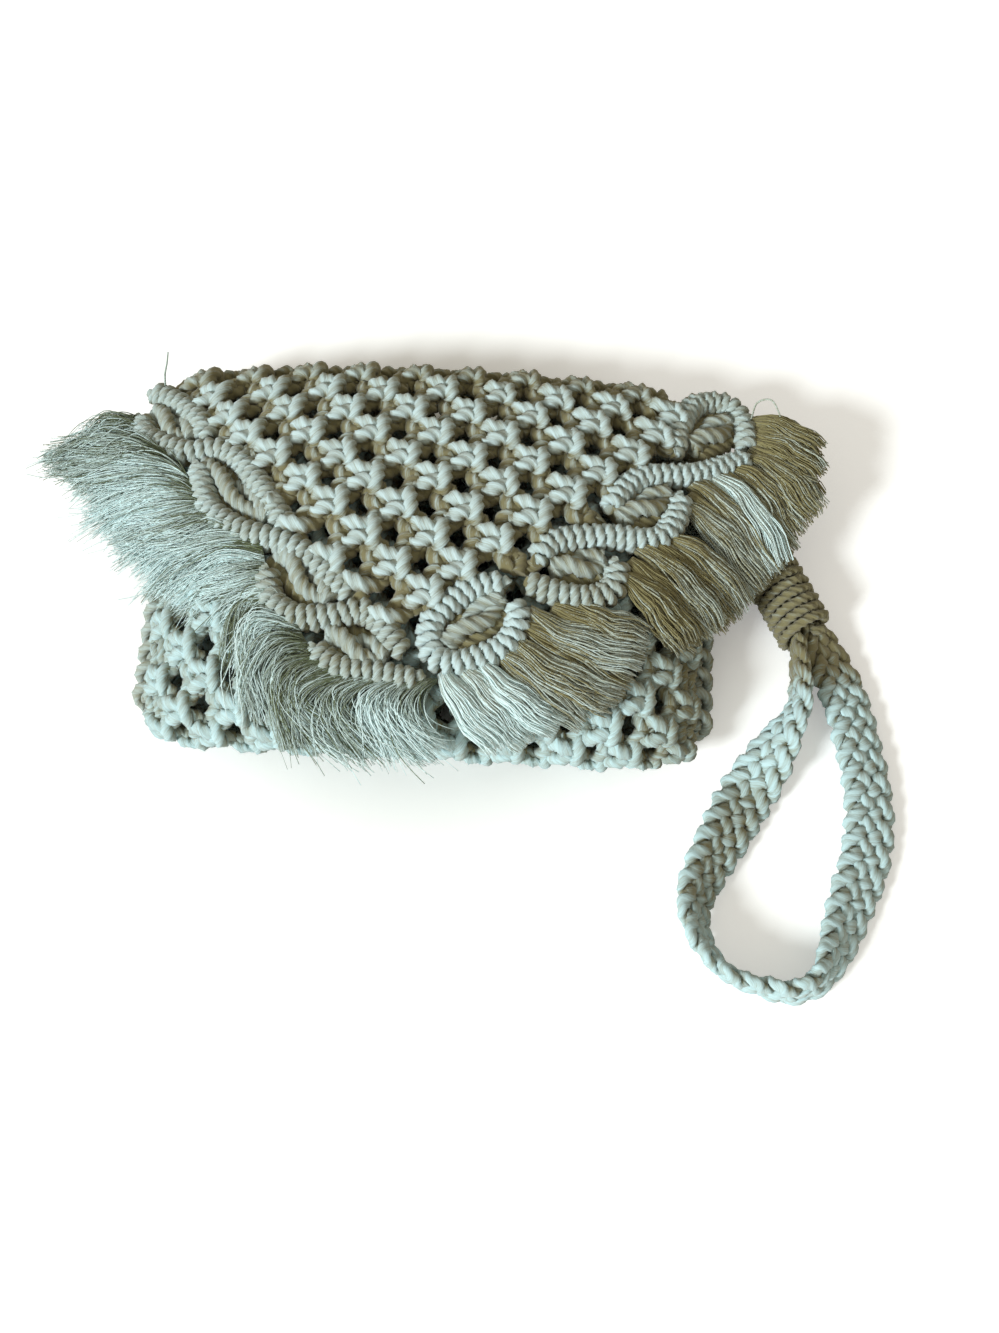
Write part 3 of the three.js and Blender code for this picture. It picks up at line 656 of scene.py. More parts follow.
def floor_paper():
    """Pale paper that is seen white, with the bag's shadow. A weak glow lightens the shadow, except under
    the bag, so that its holes stay dark."""
    material = bpy.data.materials.new("floor_paper")
    material.use_nodes = True
    tree = material.node_tree
    tree.nodes.clear()
    place = add_node(tree, "TexCoord")
    distance = add_node(tree, "VectorMath", {0: place["Object"]}, operation="LENGTH")
    glow = add_node(tree, "MapRange", {
        "Value": distance["Value"],
        "From Min": FLOOR_DARK_RADIUS * METRES,
        "From Max": FLOOR_GLOW_RADIUS * METRES,
        "To Max": FLOOR_GLOW,
    })
    light = add_node(tree, "Emission", {"Strength": glow[0]})
    lit = add_node(tree, "BsdfDiffuse", {"Color": WHITE})
    white = add_node(tree, "AddShader", {0: lit[0], 1: light[0]})
    plain = add_node(tree, "BsdfDiffuse", {"Color": FLOOR_COLOUR})
    end_background(tree, "OutputMaterial", plain, white)
    return material


def make_floor():
    """Wide floor at the height that the bag rests on."""
    reach = FLOOR_REACH * METRES
    mesh = bpy.data.meshes.new("floor")
    corners = [(-reach, -reach, 0), (reach, -reach, 0), (reach, reach, 0), (-reach, reach, 0)]
    mesh.from_pydata(corners, [], [(0, 1, 2, 3)])
    mesh.materials.append(floor_paper())
    add_object("floor", mesh)


bpy.context.scene.view_settings.view_transform = "Standard"
make_camera()
make_window()
make_world()
make_floor()


# Cotton materials
def make_fibre_group():
    """Colour and height of cotton: the tone runs from the pale to the shaded colour, shifted by blotches and
    by noise that is stretched along the cord's lay as fibres."""
    tree = bpy.data.node_groups.new("cotton_fibres", "ShaderNodeTree")
    for way, kind, names in (
        ("INPUT", "NodeSocketColor", ("Pale", "Shaded")),
        ("INPUT", "NodeSocketFloat", ("Fibres along", "Fibres round", "Blotch")),
        ("OUTPUT", "NodeSocketColor", ("Colour",)),
        ("OUTPUT", "NodeSocketFloat", ("Height",)),
    ):
        for name in names:
            tree.interface.new_socket(name, in_out=way, socket_type=kind)
    given = tree.nodes.new("NodeGroupInput").outputs

    lay = add_node(tree, "Attribute", attribute_name="lay")
    closeness = {0: given["Fibres along"], 1: given["Fibres round"], 2: given["Fibres round"]}
    stretch = add_node(tree, "CombineXYZ", closeness)
    scaled = add_node(tree, "VectorMath", {0: lay["Vector"], 1: stretch[0]}, operation="MULTIPLY")
    place = add_node(tree, "TexCoord")

    def noise_shift(position, scale, detail, tone):
        """Noise of a position, and the tone that it adds."""
        inputs = {"Vector": position, "Scale": scale, "Detail": detail}
        noise = add_node(tree, "TexNoise", inputs)[0]
        return noise, add_math(tree, "MULTIPLY", add_math(tree, "SUBTRACT", noise, 0.5), tone)

    fibres, fibre_shift = noise_shift(scaled[0], scale=1, detail=3, tone=FIBRE_TONE)
    _, blotch_shift = noise_shift(place["Object"], scale=90, detail=2, tone=given["Blotch"])
    tone = add_node(tree, "Attribute", attribute_name="tone")
    shifted = add_math(tree, "ADD", tone["Fac"], add_math(tree, "ADD", fibre_shift, blotch_shift))
    colours = {"Factor": shifted, "A": given["Pale"], "B": given["Shaded"]}
    mix = add_node(tree, "Mix", colours, data_type="RGBA", clamp_factor=True)
    feed(tree, tree.nodes.new("NodeGroupOutput"), {"Colour": mix["Result"], "Height": fibres})
    return tree


fibre_group = make_fibre_group()


def cotton(name, pale, shaded, fibres):
    """Matt cotton with a soft sheen, coloured and roughened by the fibre group."""
    material = bpy.data.materials.new(name)
    material.use_nodes = True
    tree = material.node_tree
    along, around, blotch, strength = fibres
    group = add_node(tree, "Group", {
        "Pale": (*pale, 1),
        "Shaded": (*shaded, 1),
        "Fibres along": along,
        "Fibres round": around,
        "Blotch": blotch,
    }, node_tree=fibre_group)
    heights = {"Strength": strength, "Distance": FIBRE_HEIGHT * METRES, "Height": group["Height"]}
    relief = add_node(tree, "Bump", heights)
    looks = {"Base Color": group["Colour"], "Normal": relief[0], **COTTON_FINISH}
    feed(tree, tree.nodes["Principled BSDF"], looks)
    return material


knot_cotton = cotton("knotted_cotton", PALE_COTTON, SHADED_COTTON, CORD_FIBRES)
# The body and band cottons carry the painted cooler light
body_cotton = cotton("body_cotton", COOL_LIT_COTTON, SHADED_COTTON, CORD_FIBRES)
rim_cotton = cotton("wound_cotton", PALE_COTTON, SHADED_COTTON, CORD_FIBRES)
plain_cotton = cotton("plain_cotton", PALE_COTTON, SHADED_COTTON, CORD_FIBRES)
band_cotton = cotton("braided_cotton", COOL_LIT_COTTON, SHADED_COTTON, BAND_FIBRES)
fringe_cotton = cotton("brushed_cotton", PALE_FRINGE, SHADED_FRINGE, TUFT_FIBRES)
fluffy_cotton = cotton("fluffy_cotton", PALE_FRINGE, SHADED_FLUFF, FLUFF_FIBRES)


# Folded sheet
def sheet_profile():
    """Middle line of the folded sheet from the mouth to the flap's tip: front and flap are parabolas in y,
    bottom and top fold parts of ellipses, and the back is flat. Gives arrays of the running length, y, rise
    above the back and share of the bottom's corner rounding, the lengths at which the five stretches end,
    and the height and bend of the flap's parabola."""
    join_y = -BACK_HALF - BOTTOM_DEPTH * math.cos(BOTTOM_JOIN)
    join_rise = BOTTOM_HALF_RISE * (1 + math.sin(BOTTOM_JOIN))
    front_run = FRONT_CROWN_Y - join_y
    front_bend = BOTTOM_HALF_RISE / BOTTOM_DEPTH / math.tan(BOTTOM_JOIN) / (2 * front_run)
    front_crown = join_rise + front_bend * front_run ** 2
    flap_crown = front_crown + FLAP_OVER_FRONT
    fold_y = BACK_HALF + FOLD_DEPTH * math.cos(FOLD_JOIN)
    flap_run = fold_y - FLAP_CROWN_Y
    slope = 1 / (math.tan(FOLD_JOIN) * FOLD_DEPTH)
    lift = 1 + math.sin(FOLD_JOIN)
    fold_half_rise = 2 * flap_crown / flap_run / (slope + 2 * lift / flap_run)
    flap_bend = (flap_crown - fold_half_rise * lift) / flap_run ** 2

    share = np.linspace(0, 1, PROFILE_POINTS)
    front_y = between(MOUTH_Y, join_y, share)
    bottom = between(BOTTOM_JOIN, -math.pi / 2, share)
    fold = between(-math.pi / 2, FOLD_JOIN, share)
    flap_y = between(fold_y, FLAP_END_Y, share)
    level = np.zeros(PROFILE_POINTS)
    y, rise, corner = np.concatenate([
        (front_y, front_crown - front_bend * (front_y - FRONT_CROWN_Y) ** 2, math.cos(BOTTOM_JOIN) * share),
        (-BACK_HALF - BOTTOM_DEPTH * np.cos(bottom), BOTTOM_HALF_RISE * (1 + np.sin(bottom)),
         np.cos(bottom)),
        (between(-BACK_HALF, BACK_HALF, share), level, level),
        (BACK_HALF + FOLD_DEPTH * np.cos(fold), fold_half_rise * (1 + np.sin(fold)), level),
        (flap_y, flap_crown - flap_bend * (flap_y - FLAP_CROWN_Y) ** 2, level),
    ], axis=1)
    run = lengths_along(np.stack([y, rise], axis=1))
    ends = run[PROFILE_POINTS - 1::PROFILE_POINTS]
    return run, y, rise, corner, ends, flap_crown, flap_bend


profile_run, profile_y, profile_rise, profile_corner, sheet_ends, flap_top, flap_bend = sheet_profile()
FRONT_END, BOTTOM_END, BACK_END, FOLD_END, FLAP_END = sheet_ends
BACK_MIDDLE = (BOTTOM_END + BACK_END) / 2
FOLD_APEX = np.interp(math.pi / 2, np.linspace(0, math.pi / 2 + FOLD_JOIN, PROFILE_POINTS),
                      profile_run[FOLD_START_POINT:FLAP_START_POINT])


def front_arc():
    """Across the crown of the front, the share of its arc length at each share of its half width."""
    across = np.linspace(0, 1, ARC_POINTS)
    drop = -profile_rise.max() * (1 - BODY_SIDE_SHARE) * across ** BODY_SIDE_POWER
    run = lengths_along(np.stack([HALF_WIDTH * across, drop], axis=1))
    return run / run[-1], across


arc_share, arc_across = front_arc()


def flap_height(x, y):
    """Height of the middle of the flap's mat: a parabola in y that comes down at the sides."""
    rise = flap_top - flap_bend * (y - FLAP_CROWN_Y) ** 2
    return MAT_HALF + rise * (1 - (1 - FLAP_SIDE_SHARE) * np.abs(x / HALF_WIDTH) ** FLAP_SIDE_POWER)


def sheet_point(across, run):
    """Point of the folded sheet's middle, at a distance across it and a length down it. The profile gives y
    and rise. The sides come down by a power of the share across, the bottom's corners pull in, the fold bows
    at its ends, and from its apex on the sheet widens."""
    profile = (profile_y, profile_rise, profile_corner)
    y, rise, corner = (np.interp(run, profile_run, values) for values in profile)
    share = across / SHEET_HALF
    arched = np.sign(share) * np.interp(np.abs(share), arc_share, arc_across)
    front_share = np.where(run < BACK_MIDDLE, rise / profile_rise.max(), 0)
    body = HALF_WIDTH * between(share, arched, np.clip(front_share * FRONT_ARC_GAIN, 0, 1))
    x = between(body, across, smooth_step(FOLD_APEX, FOLD_END + FLAP_WIDENING, run))
    over = np.abs(x / HALF_WIDTH)
    body_swell = 1 - (1 - BODY_SIDE_SHARE) * np.minimum(over, BODY_SIDE_REACH) ** BODY_SIDE_POWER
    flap_swell = 1 - (1 - FLAP_SIDE_SHARE) * over ** FLAP_SIDE_POWER
    swell = np.where(run < BACK_MIDDLE, body_swell, flap_swell)
    pulled = (BOTTOM_DEPTH - BOTTOM_CORNER_DEPTH) * np.minimum(over, 1) ** BOTTOM_CORNER_POWER
    bow = FOLD_BOW * over ** 2 * smooth_step(BACK_END, FOLD_APEX, run)
    return np.stack([x, y + pulled * corner - bow, MAT_HALF + rise * swell], axis=-1)


def bend_sheet(points):
    """Flat points (across, up the sheet, out of it) bent round the folded sheet, along its normal. Past its
    ends the sheet goes straight on. Knots are flatter inside, under the flap and where the bag lies."""
    across = points[..., 0]
    out = points[..., 2]
    run = np.clip(-points[..., 1], BEND_STEP, FLAP_END - BEND_STEP)
    along_x = sheet_point(across + BEND_STEP, run) - sheet_point(across - BEND_STEP, run)
    along_run = sheet_point(across, run + BEND_STEP) - sheet_point(across, run - BEND_STEP)
    past_end = (-points[..., 1] - run)[..., None] * unit(along_run)
    normal = unit(np.cross(along_run, along_x))
    rise = np.interp(run, profile_run, profile_rise)
    fullest = np.where(run < BACK_MIDDLE, FRONT_FULLNESS, 1)
    outside = between(REST_FULLNESS, fullest, smooth_step(*FULLNESS_LIMITS, rise))
    fullness = np.where(out > 0, outside, INSIDE_FULLNESS)
    return sheet_point(across, run) + past_end + (out * fullness)[..., None] * normal


# Knotted cords
even_row_run = np.interp(-FLAP_EVEN_ROW_Y, -profile_y[FLAP_START_POINT:], profile_run[FLAP_START_POINT:])
rows_before = int((even_row_run - MOUTH_TO_FIRST_ROW) / ROW_PITCH / 2) * 2
row_runs = even_row_run + ROW_PITCH * np.arange(-rows_before, ROWS_FROM_EVEN_ROW)
row_count = len(row_runs)
knot_turn = rng.normal(0, KNOT_TURN_SPREAD, (row_count, KNOTS_ACROSS))
knot_size = 1 + rng.normal(0, KNOT_SIZE_SPREAD, (row_count, KNOTS_ACROSS))
knot_shift = rng.normal(0, KNOT_PLACE_SPREAD, (row_count, KNOTS_ACROSS, 2))


def edge_place(cord):
    """Place across the sheet of an edge cord in a row that leaves it out of the knots."""
    if cord < KNOT_CORDS:
        return EDGE_INSETS[cord] - SHEET_HALF
    return SHEET_HALF - EDGE_INSETS[CORD_COUNT - 1 - cord]


def knot_points(cord, row):
    """Control points of one cord in one row: its part of the knot, turned, sized and set in place."""
    shifted = row % 2
    place = cord - shifted * KNOT_CORDS // 2
    if not 0 <= place < CORD_COUNT - shifted * KNOT_CORDS:
        return np.array([(edge_place(cord), -row_runs[row], 0.0)])
    knot, slot = divmod(place, KNOT_CORDS)
    if slot == 0:
        points = LEFT_CORD
    elif slot == KNOT_CORDS - 1:
        points = RIGHT_CORD
    else:
        points = FILLER_CORD + (FILLER_OFFSET * (2 * slot + 1 - KNOT_CORDS), 0, 0)
    points = points * KNOT_STRETCH * knot_size[row, knot]
    turn = knot_turn[row, knot]
    x = points[:, 0] * math.cos(turn) - points[:, 1] * math.sin(turn)
    y = points[:, 0] * math.sin(turn) + points[:, 1] * math.cos(turn)
    centre = KNOT_PITCH * (knot + 0.5 + 0.5 * shifted) - SHEET_HALF
    shift = knot_shift[row, knot]
    return np.stack([x + centre + shift[0], y - row_runs[row] + shift[1], points[:, 2]], axis=1)


def inner_edge(arms, edge_points):
    """The flap's edge as x for each y: the inner arms of the leaves, joined from bottom to top."""
    edge = np.vstack([arms[arm][first:last] for arm, first, last in edge_points]).astype(float)
    order = np.argsort(edge[:, 1])
    return edge[order, 1], edge[order, 0]


left_edge = inner_edge(LEFT_ARMS, LEFT_EDGE_POINTS)
right_edge = inner_edge(RIGHT_ARMS, RIGHT_EDGE_POINTS)


def inside_flap(x, y):
    """True where a point of the flap lies inside both edges, or past them by less than the rims hide."""
    left = np.interp(y, *left_edge) - CUT_UNDER_RIM
    right = np.interp(y, *right_edge) + CUT_UNDER_RIM
    return (x > left) & (x < right) & (y > left_edge[0][0])


def knot_tone(rings):
    """Painted shade: pale on the knots' crests and shaded between and behind them, more so on the flap. The
    outside of the fold's top and the bag's right end are shaded too."""
    across, run, height = rings[..., 0], -rings[..., 1], rings[..., 2]
    flap_share = smooth_step(BACK_MIDDLE, FOLD_APEX, run)
    crest, hollow, hollow_shade = (
        between(*values, flap_share) for values in (CREST_HEIGHTS, HOLLOW_HEIGHTS, HOLLOW_SHADES)
    )
    recess = smooth_step(crest, hollow, height) * smooth_step(*BEHIND_LIMITS, height)
    top = smooth_step(*FOLD_TOP_LIMITS, run - FOLD_APEX)
    top = top * smooth_step(*FOLD_TOP_END_LIMITS, run - FOLD_END) * smooth_step(*FOLD_OUTSIDE_LIMITS, height)
    right_end_shade = smooth_step(*RIGHT_END_LIMITS, across) * (1 - flap_share)
    return hollow_shade * recess + RIGHT_END_SHADE * right_end_shade + FOLD_TOP_SHADE * top


def cut_row(run):
    """The line midway between rows that is nearest to a length down the sheet."""
    middles = row_runs[:-1] + ROW_PITCH / 2
    return middles[np.argmin(np.abs(middles - run))]


def make_knots():
    """All the cords of the sheet, cut into the front, bottom, back, fold and flap."""
    cuts = [cut_row(end) for end in (FRONT_END, BOTTOM_END, BACK_END, FOLD_END)]
    bundles = [Cords() for _ in SHEET_STRETCHES]
    for cord in range(CORD_COUNT):
        points = np.vstack([knot_points(cord, row) for row in range(row_count)])
        path = smooth_path(np.vstack([points[:1] * (1, 0, 0), points]), CORD_STEP)
        run = np.maximum.accumulate(-path[:, 1])
        bent = sheet_point(path[:, 0], -path[:, 1])
        outside = ~inside_flap(bent[:, 0], bent[:, 1]) & (run >= FOLD_APEX + UNCUT_PAST_FOLD)
        last = np.argmax(outside) if outside.any() else len(path) - 1
        bounds = np.minimum([0, *np.searchsorted(run, cuts), len(path) - 1], last)
        length = lengths_along(path)
        for bundle, (_, step, sides), first, end in zip(bundles, SHEET_STRETCHES, bounds, bounds[1:]):
            stretch = path[first:end + 1]
            if len(stretch) >= FEWEST_POINTS:
                even = resampled(stretch, step)
                bundle.add(even, CORD_RADIUS, knot_tone, sides=sides, bend=bend_sheet, start=length[first])
    names = [name for name, _, _ in SHEET_STRETCHES]
    cottons = [body_cotton, body_cotton, body_cotton, knot_cotton, knot_cotton]
    return [bundle.make(name, material) for bundle, name, material in zip(bundles, names, cottons)]


knots_front, knots_bottom, knots_back, knots_fold, knots_flap = make_knots()
stand_in(knots_front, "front_panel", "bag")
stand_in(knots_bottom, "bottom_fold", "bag")
stand_in(knots_back, "back_panel", "bag")
stand_in(knots_flap, "flap_panel", "flap")
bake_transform(knots_fold)
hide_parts("fold_back_half", "fold_front_half")


# Leaf rims
def on_flap(points):
    """Points of the flap's plan, lifted to the middle of its mat."""
    points = np.asarray(points, float)
    return np.column_stack([points, flap_height(points[:, 0], points[:, 1])])


def add_winding(cords, line, radius, cord_radius, pitch, end, tone, sides):
    """Winds a cord round a line: a helix of one turn a pitch, drawn in over the last stretch at each end."""
    fine = resampled(line, pitch / WINDING_POINTS)
    run = lengths_along(fine)
    tangent = tangents(fine)
    across = unit(UP - tangent * (tangent @ UP)[:, None])
    beside = np.cross(tangent, across)
    from_end = np.minimum(run, run[-1] - run)
    drawn = np.sqrt(np.clip(1 - (1 - np.clip(from_end / end, 0, 1)) ** 2, WINDING_LEAST, 1))
    turn = 2 * np.pi * run / pitch
    out = around(turn, across, beside)
    path = fine + (radius * drawn)[:, None] * out

    def underside(rings):
        """The cord's tone, shaded below the middle of the winding."""
        lift = (rings[..., 2] - fine[:, 2:]) / radius
        shade = smooth_step(*UNDERSIDE_LIMITS, lift) * smooth_step(*UNDERNEATH_LIMITS, lift)
        return tone + UNDERSIDE_TONE * shade

    cords.add(path, cord_radius, underside, reference=tangent, sides=sides, lay=11)


def make_rims(side, arms, tones):
    """The wound arms of one edge's leaves, a piece for each leaf. The first leaf has two arms of its own."""
    toned = list(zip(arms, tones))
    leaves = [toned[:2], toned[2:3], toned[3:4], toned[4:]]
    for number, leaf in enumerate(leaves, 1):
        cords = Cords()
        for arm, tone in leaf:
            line = smooth_path(on_flap(arm))
            add_winding(cords, line, RIM_RADIUS, RIM_CORD_RADIUS, RIM_PITCH, RIM_END, tone, sides=10)
        rim = cords.make(f"{side}_rim_winding_{number}", rim_cotton)
        stand_in(rim, f"{side}_leaf_rim_{number}", "flap")


def make_leaf_cords(side, pairs):
    """Two cords twisted round each other along each leaf, as opposite helices, and the bed under them."""
    for number, (first, last) in enumerate(pairs, 1):
        cords = Cords()
        line = smooth_path(on_flap([first, np.add(first, last) / 2, last]))
        run = lengths_along(line) / lengths_along(line)[-1]
        tangent = tangents(line)
        beside = unit(np.cross(UP, tangent))
        inner_run = np.clip(run, PAIR_END_SHARE, 1 - PAIR_END_SHARE)
        spread = PAIR_SPREAD * np.sin(np.pi * inner_run)
        # Painted shade: the pair partly shaded, the bed under it deep in shade
        for half in (0, np.pi):
            angle = 2 * np.pi * PAIR_TURNS * run + half + PAIR_START_ANGLE
            offset = around(angle, beside, PAIR_FLATTEN * UP)
            cords.add(line + spread[:, None] * offset, PAIR_RADIUS, tone=0.35)
        for way in (-1, 1):
            under = line + way * BED_SPREAD * beside - BED_DROP * UP
            cords.add(under, BED_RADIUS, tone=0.9)
        pair = cords.make(f"{side}_leaf_pair_{number}", plain_cotton)
        stand_in(pair, f"{side}_leaf_cords_{number}", "flap")


make_rims("left", LEFT_ARMS, LEFT_ARM_SHADES)
make_rims("right", RIGHT_ARMS, RIGHT_ARM_SHADES)
make_leaf_cords("left", LEFT_PAIRS)
make_leaf_cords("right", RIGHT_PAIRS)


# Fringe
def along_points(points, share):
    """Places at shares of the way along a line of points."""
    return looked_up(share, np.linspace(0, 1, len(points)), np.array(points, float))


def add_strands(cords, paths, radius, tone):
    """Thin strands along a batch of paths, tapering a little to the tip. The tone is given at each point."""
    tangent = tangents(paths)
    first = unit(np.cross(tangent, UP))
    second = np.cross(tangent, first)
    angle = 2 * np.pi * np.arange(STRAND_SIDES) / STRAND_SIDES
    taper = np.linspace(1, STRAND_TAPER, paths.shape[1])
    reach = (radius[:, None] * taper)[..., None, None]
    across = around(angle, first[:, :, None], second[:, :, None])
    rings = paths[:, :, None] + reach * across
    run = np.linspace(0, 1, paths.shape[1])[:, None] * STRAND_NOISE_LENGTH
    run = run + rng.random((len(paths), 1, 1)) * STRAND_NOISE_START
    cords.add_rings(rings, run[..., None], tone[..., None])


def add_threads(cords, threads):
    """Single loose strands along curves through the given points."""
    for points in threads:
        path = smooth_path(points)
        add_strands(cords, path[None], np.array([THREAD_RADIUS]), np.full((1, len(path)), THREAD_SHADE))


def finish_fringe(cords, side, number, material):
    """The piece of one leaf's fringe."""
    fringe = cords.make(f"{side}_fringe_strands_{number}", material)
    stand_in(fringe, f"{side}_fringe_{number}", "flap")


def make_fan(number, roots, tips, sweep, tones):
    """Brushed-out fringe: strands from a line of roots to a line of tips, gathered in clumps. Each is a
    straight way with a bow and a rise that go as sin(pi t) of its share t, and a wave that grows with t.
    The strands of a clump share most of these, and draw together."""
    count = FAN_STRANDS
    clump = rng.integers(0, FAN_CLUMPS, count)

    def in_clumps(limits):
        """Chance values between two limits, one for each clump, handed to its strands."""
        return rng.uniform(*limits, FAN_CLUMPS)[clump]

    def spread(of_clumps, of_strands):
        """Chance shifts of the clumps, with those of their strands on top."""
        return rng.normal(0, of_clumps, FAN_CLUMPS)[clump] + rng.normal(0, of_strands, count)

    middle = (clump + 0.5) / FAN_CLUMPS
    share = np.clip(middle + rng.normal(0, FAN_ROOT_SPREAD, count) / FAN_CLUMPS, 0, 1)
    starts = on_flap(along_points(roots, share))
    starts[:, 2] += rng.uniform(*FAN_ROOT_LIFTS, count)
    gathered = between(middle, share, FAN_GATHERING) + spread(*PLACE_SPREADS)
    ends = along_points(tips, np.clip(gathered, 0, 1))
    reach = rng.normal(*CLUMP_REACH, FAN_CLUMPS)[clump] * rng.uniform(*STRAND_REACH, count)
    ends = between(starts, ends, reach[:, None]) + rng.normal(0, FAN_TIP_SPREAD, (count, 3))
    stray = rng.random(count) < FAN_STRAY_SHARE
    ends += stray[:, None] * rng.normal(0, 1, (count, 3)) * FAN_STRAY_SPREAD
    beside = unit(np.cross(UP, ends - starts))
    along = np.linspace(0, 1, FAN_POINTS)
    arch = np.sin(np.pi * along)
    bow = sweep + spread(*BOW_SPREADS)
    lift = in_clumps(CLUMP_LIFT) + rng.uniform(*STRAND_LIFT, count)
    waves = in_clumps(CLUMP_WAVES) + rng.normal(0, WAVES_SPREAD, count)
    phase = in_clumps((0, 1)) + rng.normal(0, PHASE_SPREAD, count)
    swing = in_clumps(CLUMP_SWING)[:, None] * along
    wave = swing * np.sin(2 * np.pi * (waves[:, None] * along + phase[:, None]))
    paths = between(starts[:, None], ends[:, None], along[:, None])
    paths += (bow[:, None] * arch + wave)[..., None] * beside[:, None]
    paths[..., 2] += lift[:, None] * arch
    # Painted shade along the fan, on lower strands and on a few dark strands, with a random spread, and more
    # towards the roots
    tone = np.interp(share, (0, 0.5, 1), tones) + LOW_STRAND_SHADE * (LOW_LIFT - lift)
    tone += spread(*TONE_SPREADS)
    tone += SHADOW_STRAND_TONE * rng.random(count) ** SHADOW_STRAND_POWER
    root_shade = in_clumps(CLUMP_ROOT_SHADE)[:, None] * (1 - along) ** 2
    cords = Cords()
    add_strands(cords, paths, rng.uniform(*FAN_STRAND_RADII, count), tone[:, None] + root_shade)
    if number == 1:
        add_threads(cords, LEFT_THREADS)
    finish_fringe(cords, "left", number, fluffy_cotton)


def add_tuft(cords, root, tip, width, bow, tone):
    """Unlaid cord end: strands that leave the rim as a round cord and spread to a flat brush, each keeping
    its place in the section. The tuft bows in one arch, and what is left of the twist waves each ply."""
    count = TUFT_STRANDS
    start = np.array([*root, flap_height(*root)])
    end = np.array(tip, float)
    forward = unit(end - start)
    beside = unit(np.cross(UP, forward))
    above = np.cross(forward, beside)
    radius = np.sqrt(rng.random(count))
    angle = rng.random(count) * 2 * np.pi
    ply = (angle * PLIES / (2 * np.pi)).astype(int)
    along = np.linspace(0, 1, TUFT_POINTS)
    half_width = between(TUFT_ROOT_RADIUS, width / 2, np.sin(TUFT_WIDTH_ANGLE * along))
    half_height = TUFT_ROOT_RADIUS + TUFT_SWELL * np.sin(TUFT_SWELL_ANGLE * along)
    arch = np.sin(np.pi * along ** TUFT_ARCH_POWER)
    phase = rng.random(PLIES)[ply] + rng.normal(0, TUFT_PHASE_SPREAD, count)
    twist = 2 * np.pi * (rng.uniform(*TUFT_TWIST_TURNS) * along + phase[:, None])
    sideways = (radius * np.cos(angle))[:, None] * half_width + bow * arch
    sideways += TUFT_WAVE_BESIDE * np.sin(twist) * np.sqrt(along)
    upwards = (radius * np.sin(angle))[:, None] * half_height + TUFT_ARCH_RISE * arch
    upwards += TUFT_WAVE_ABOVE * np.cos(twist)
    reach = rng.uniform(*TUFT_REACH, count)[:, None] * along
    paths = between(start, end, reach[..., None])
    paths += sideways[..., None] * beside + upwards[..., None] * above
    # Painted shade: darker inside the tuft and towards its root
    strand_tone = tone + TUFT_CORE_SHADE * (1 - radius) + rng.normal(0, TUFT_TONE_SPREAD, count)
    root_shade = TUFT_ROOT_SHADE * (1 - along) ** 2
    add_strands(cords, paths, rng.uniform(*TUFT_STRAND_RADII, count), strand_tone[:, None] + root_shade)


def make_tufts(number, tufts):
    """The tufts of one right leaf, with a shaded tuft under and between each two."""
    cords = Cords()
    for tuft in tufts:
        add_tuft(cords, *tuft)
    for neighbours in zip(tufts, tufts[1:]):
        root, tip, _, _, tone = (np.add(*values) / 2 for values in zip(*neighbours))
        add_tuft(cords, root, tip - UNDER_TUFT_DROP, UNDER_TUFT_WIDTH, 0, tone + UNDER_TUFT_SHADE)
    if number == 1:
        add_threads(cords, RIGHT_THREADS)
    finish_fringe(cords, "right", number, fringe_cotton)


for number, fan in enumerate(LEFT_FANS, 1):
    make_fan(number, *fan)
for number, tufts in enumerate(RIGHT_TUFTS, 1):
    make_tufts(number, tufts)


# Wrist strap
wrap_start = STRAP_ANCHOR + TAIL_REACH * STRAP_FORWARD + TAIL_SIDE * STRAP_SIDEWAYS
wrap_start[2] = STRAP_AXIS_Z
wrap_end = wrap_start + (WRAP_TURNS * WRAP_PITCH + WRAP_SPARE) * STRAP_FORWARD


def make_wrap():
    """Gathering cord: a helix of even turns round the strap's axis, its ends tucked in."""
    cords = Cords()
    line = np.array([wrap_start, wrap_end])
    # The wrap's cord is painted dark as in shadow
    add_winding(cords, line, WRAP_RADIUS, WRAP_CORD_RADIUS, WRAP_PITCH, WRAP_END, tone=0.85, sides=12)
    wrap = cords.make("strap_winding", plain_cotton)
    stand_in(wrap, "strap_wrap", "strap")


def make_tail():
    """Cords from the knot in the side seam into the wrap: a ring of cords that widens along a bent line."""
    cords = Cords()
    bend = between(STRAP_ANCHOR, wrap_start, TAIL_BEND_SHARE)
    inside = wrap_end - TAIL_TUCK * STRAP_FORWARD
    line = smooth_path([STRAP_ANCHOR + TAIL_ROOT, STRAP_ANCHOR, bend, wrap_start, inside])
    run = lengths_along(line)
    tangent = tangents(line)
    beside = unit(np.cross(UP, tangent))
    above = np.cross(tangent, beside)
    wide = between(TAIL_SEAM_RADIUS, TAIL_WRAP_RADIUS, smooth_step(*TAIL_WIDENING_LIMITS, run))
    for cord in range(TAIL_CORDS):
        angle = 2 * np.pi * (cord / TAIL_CORDS + run / TAIL_TWIST)
        path = line + wide[:, None] * around(angle, beside, above)
        # The tail's cords are painted dark as in shadow
        cords.add(path, TAIL_CORD_RADIUS, tone=0.8, sides=9)
    tail = cords.make("strap_tail_cords", plain_cotton)
    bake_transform(tail)
    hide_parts("strap_tail")


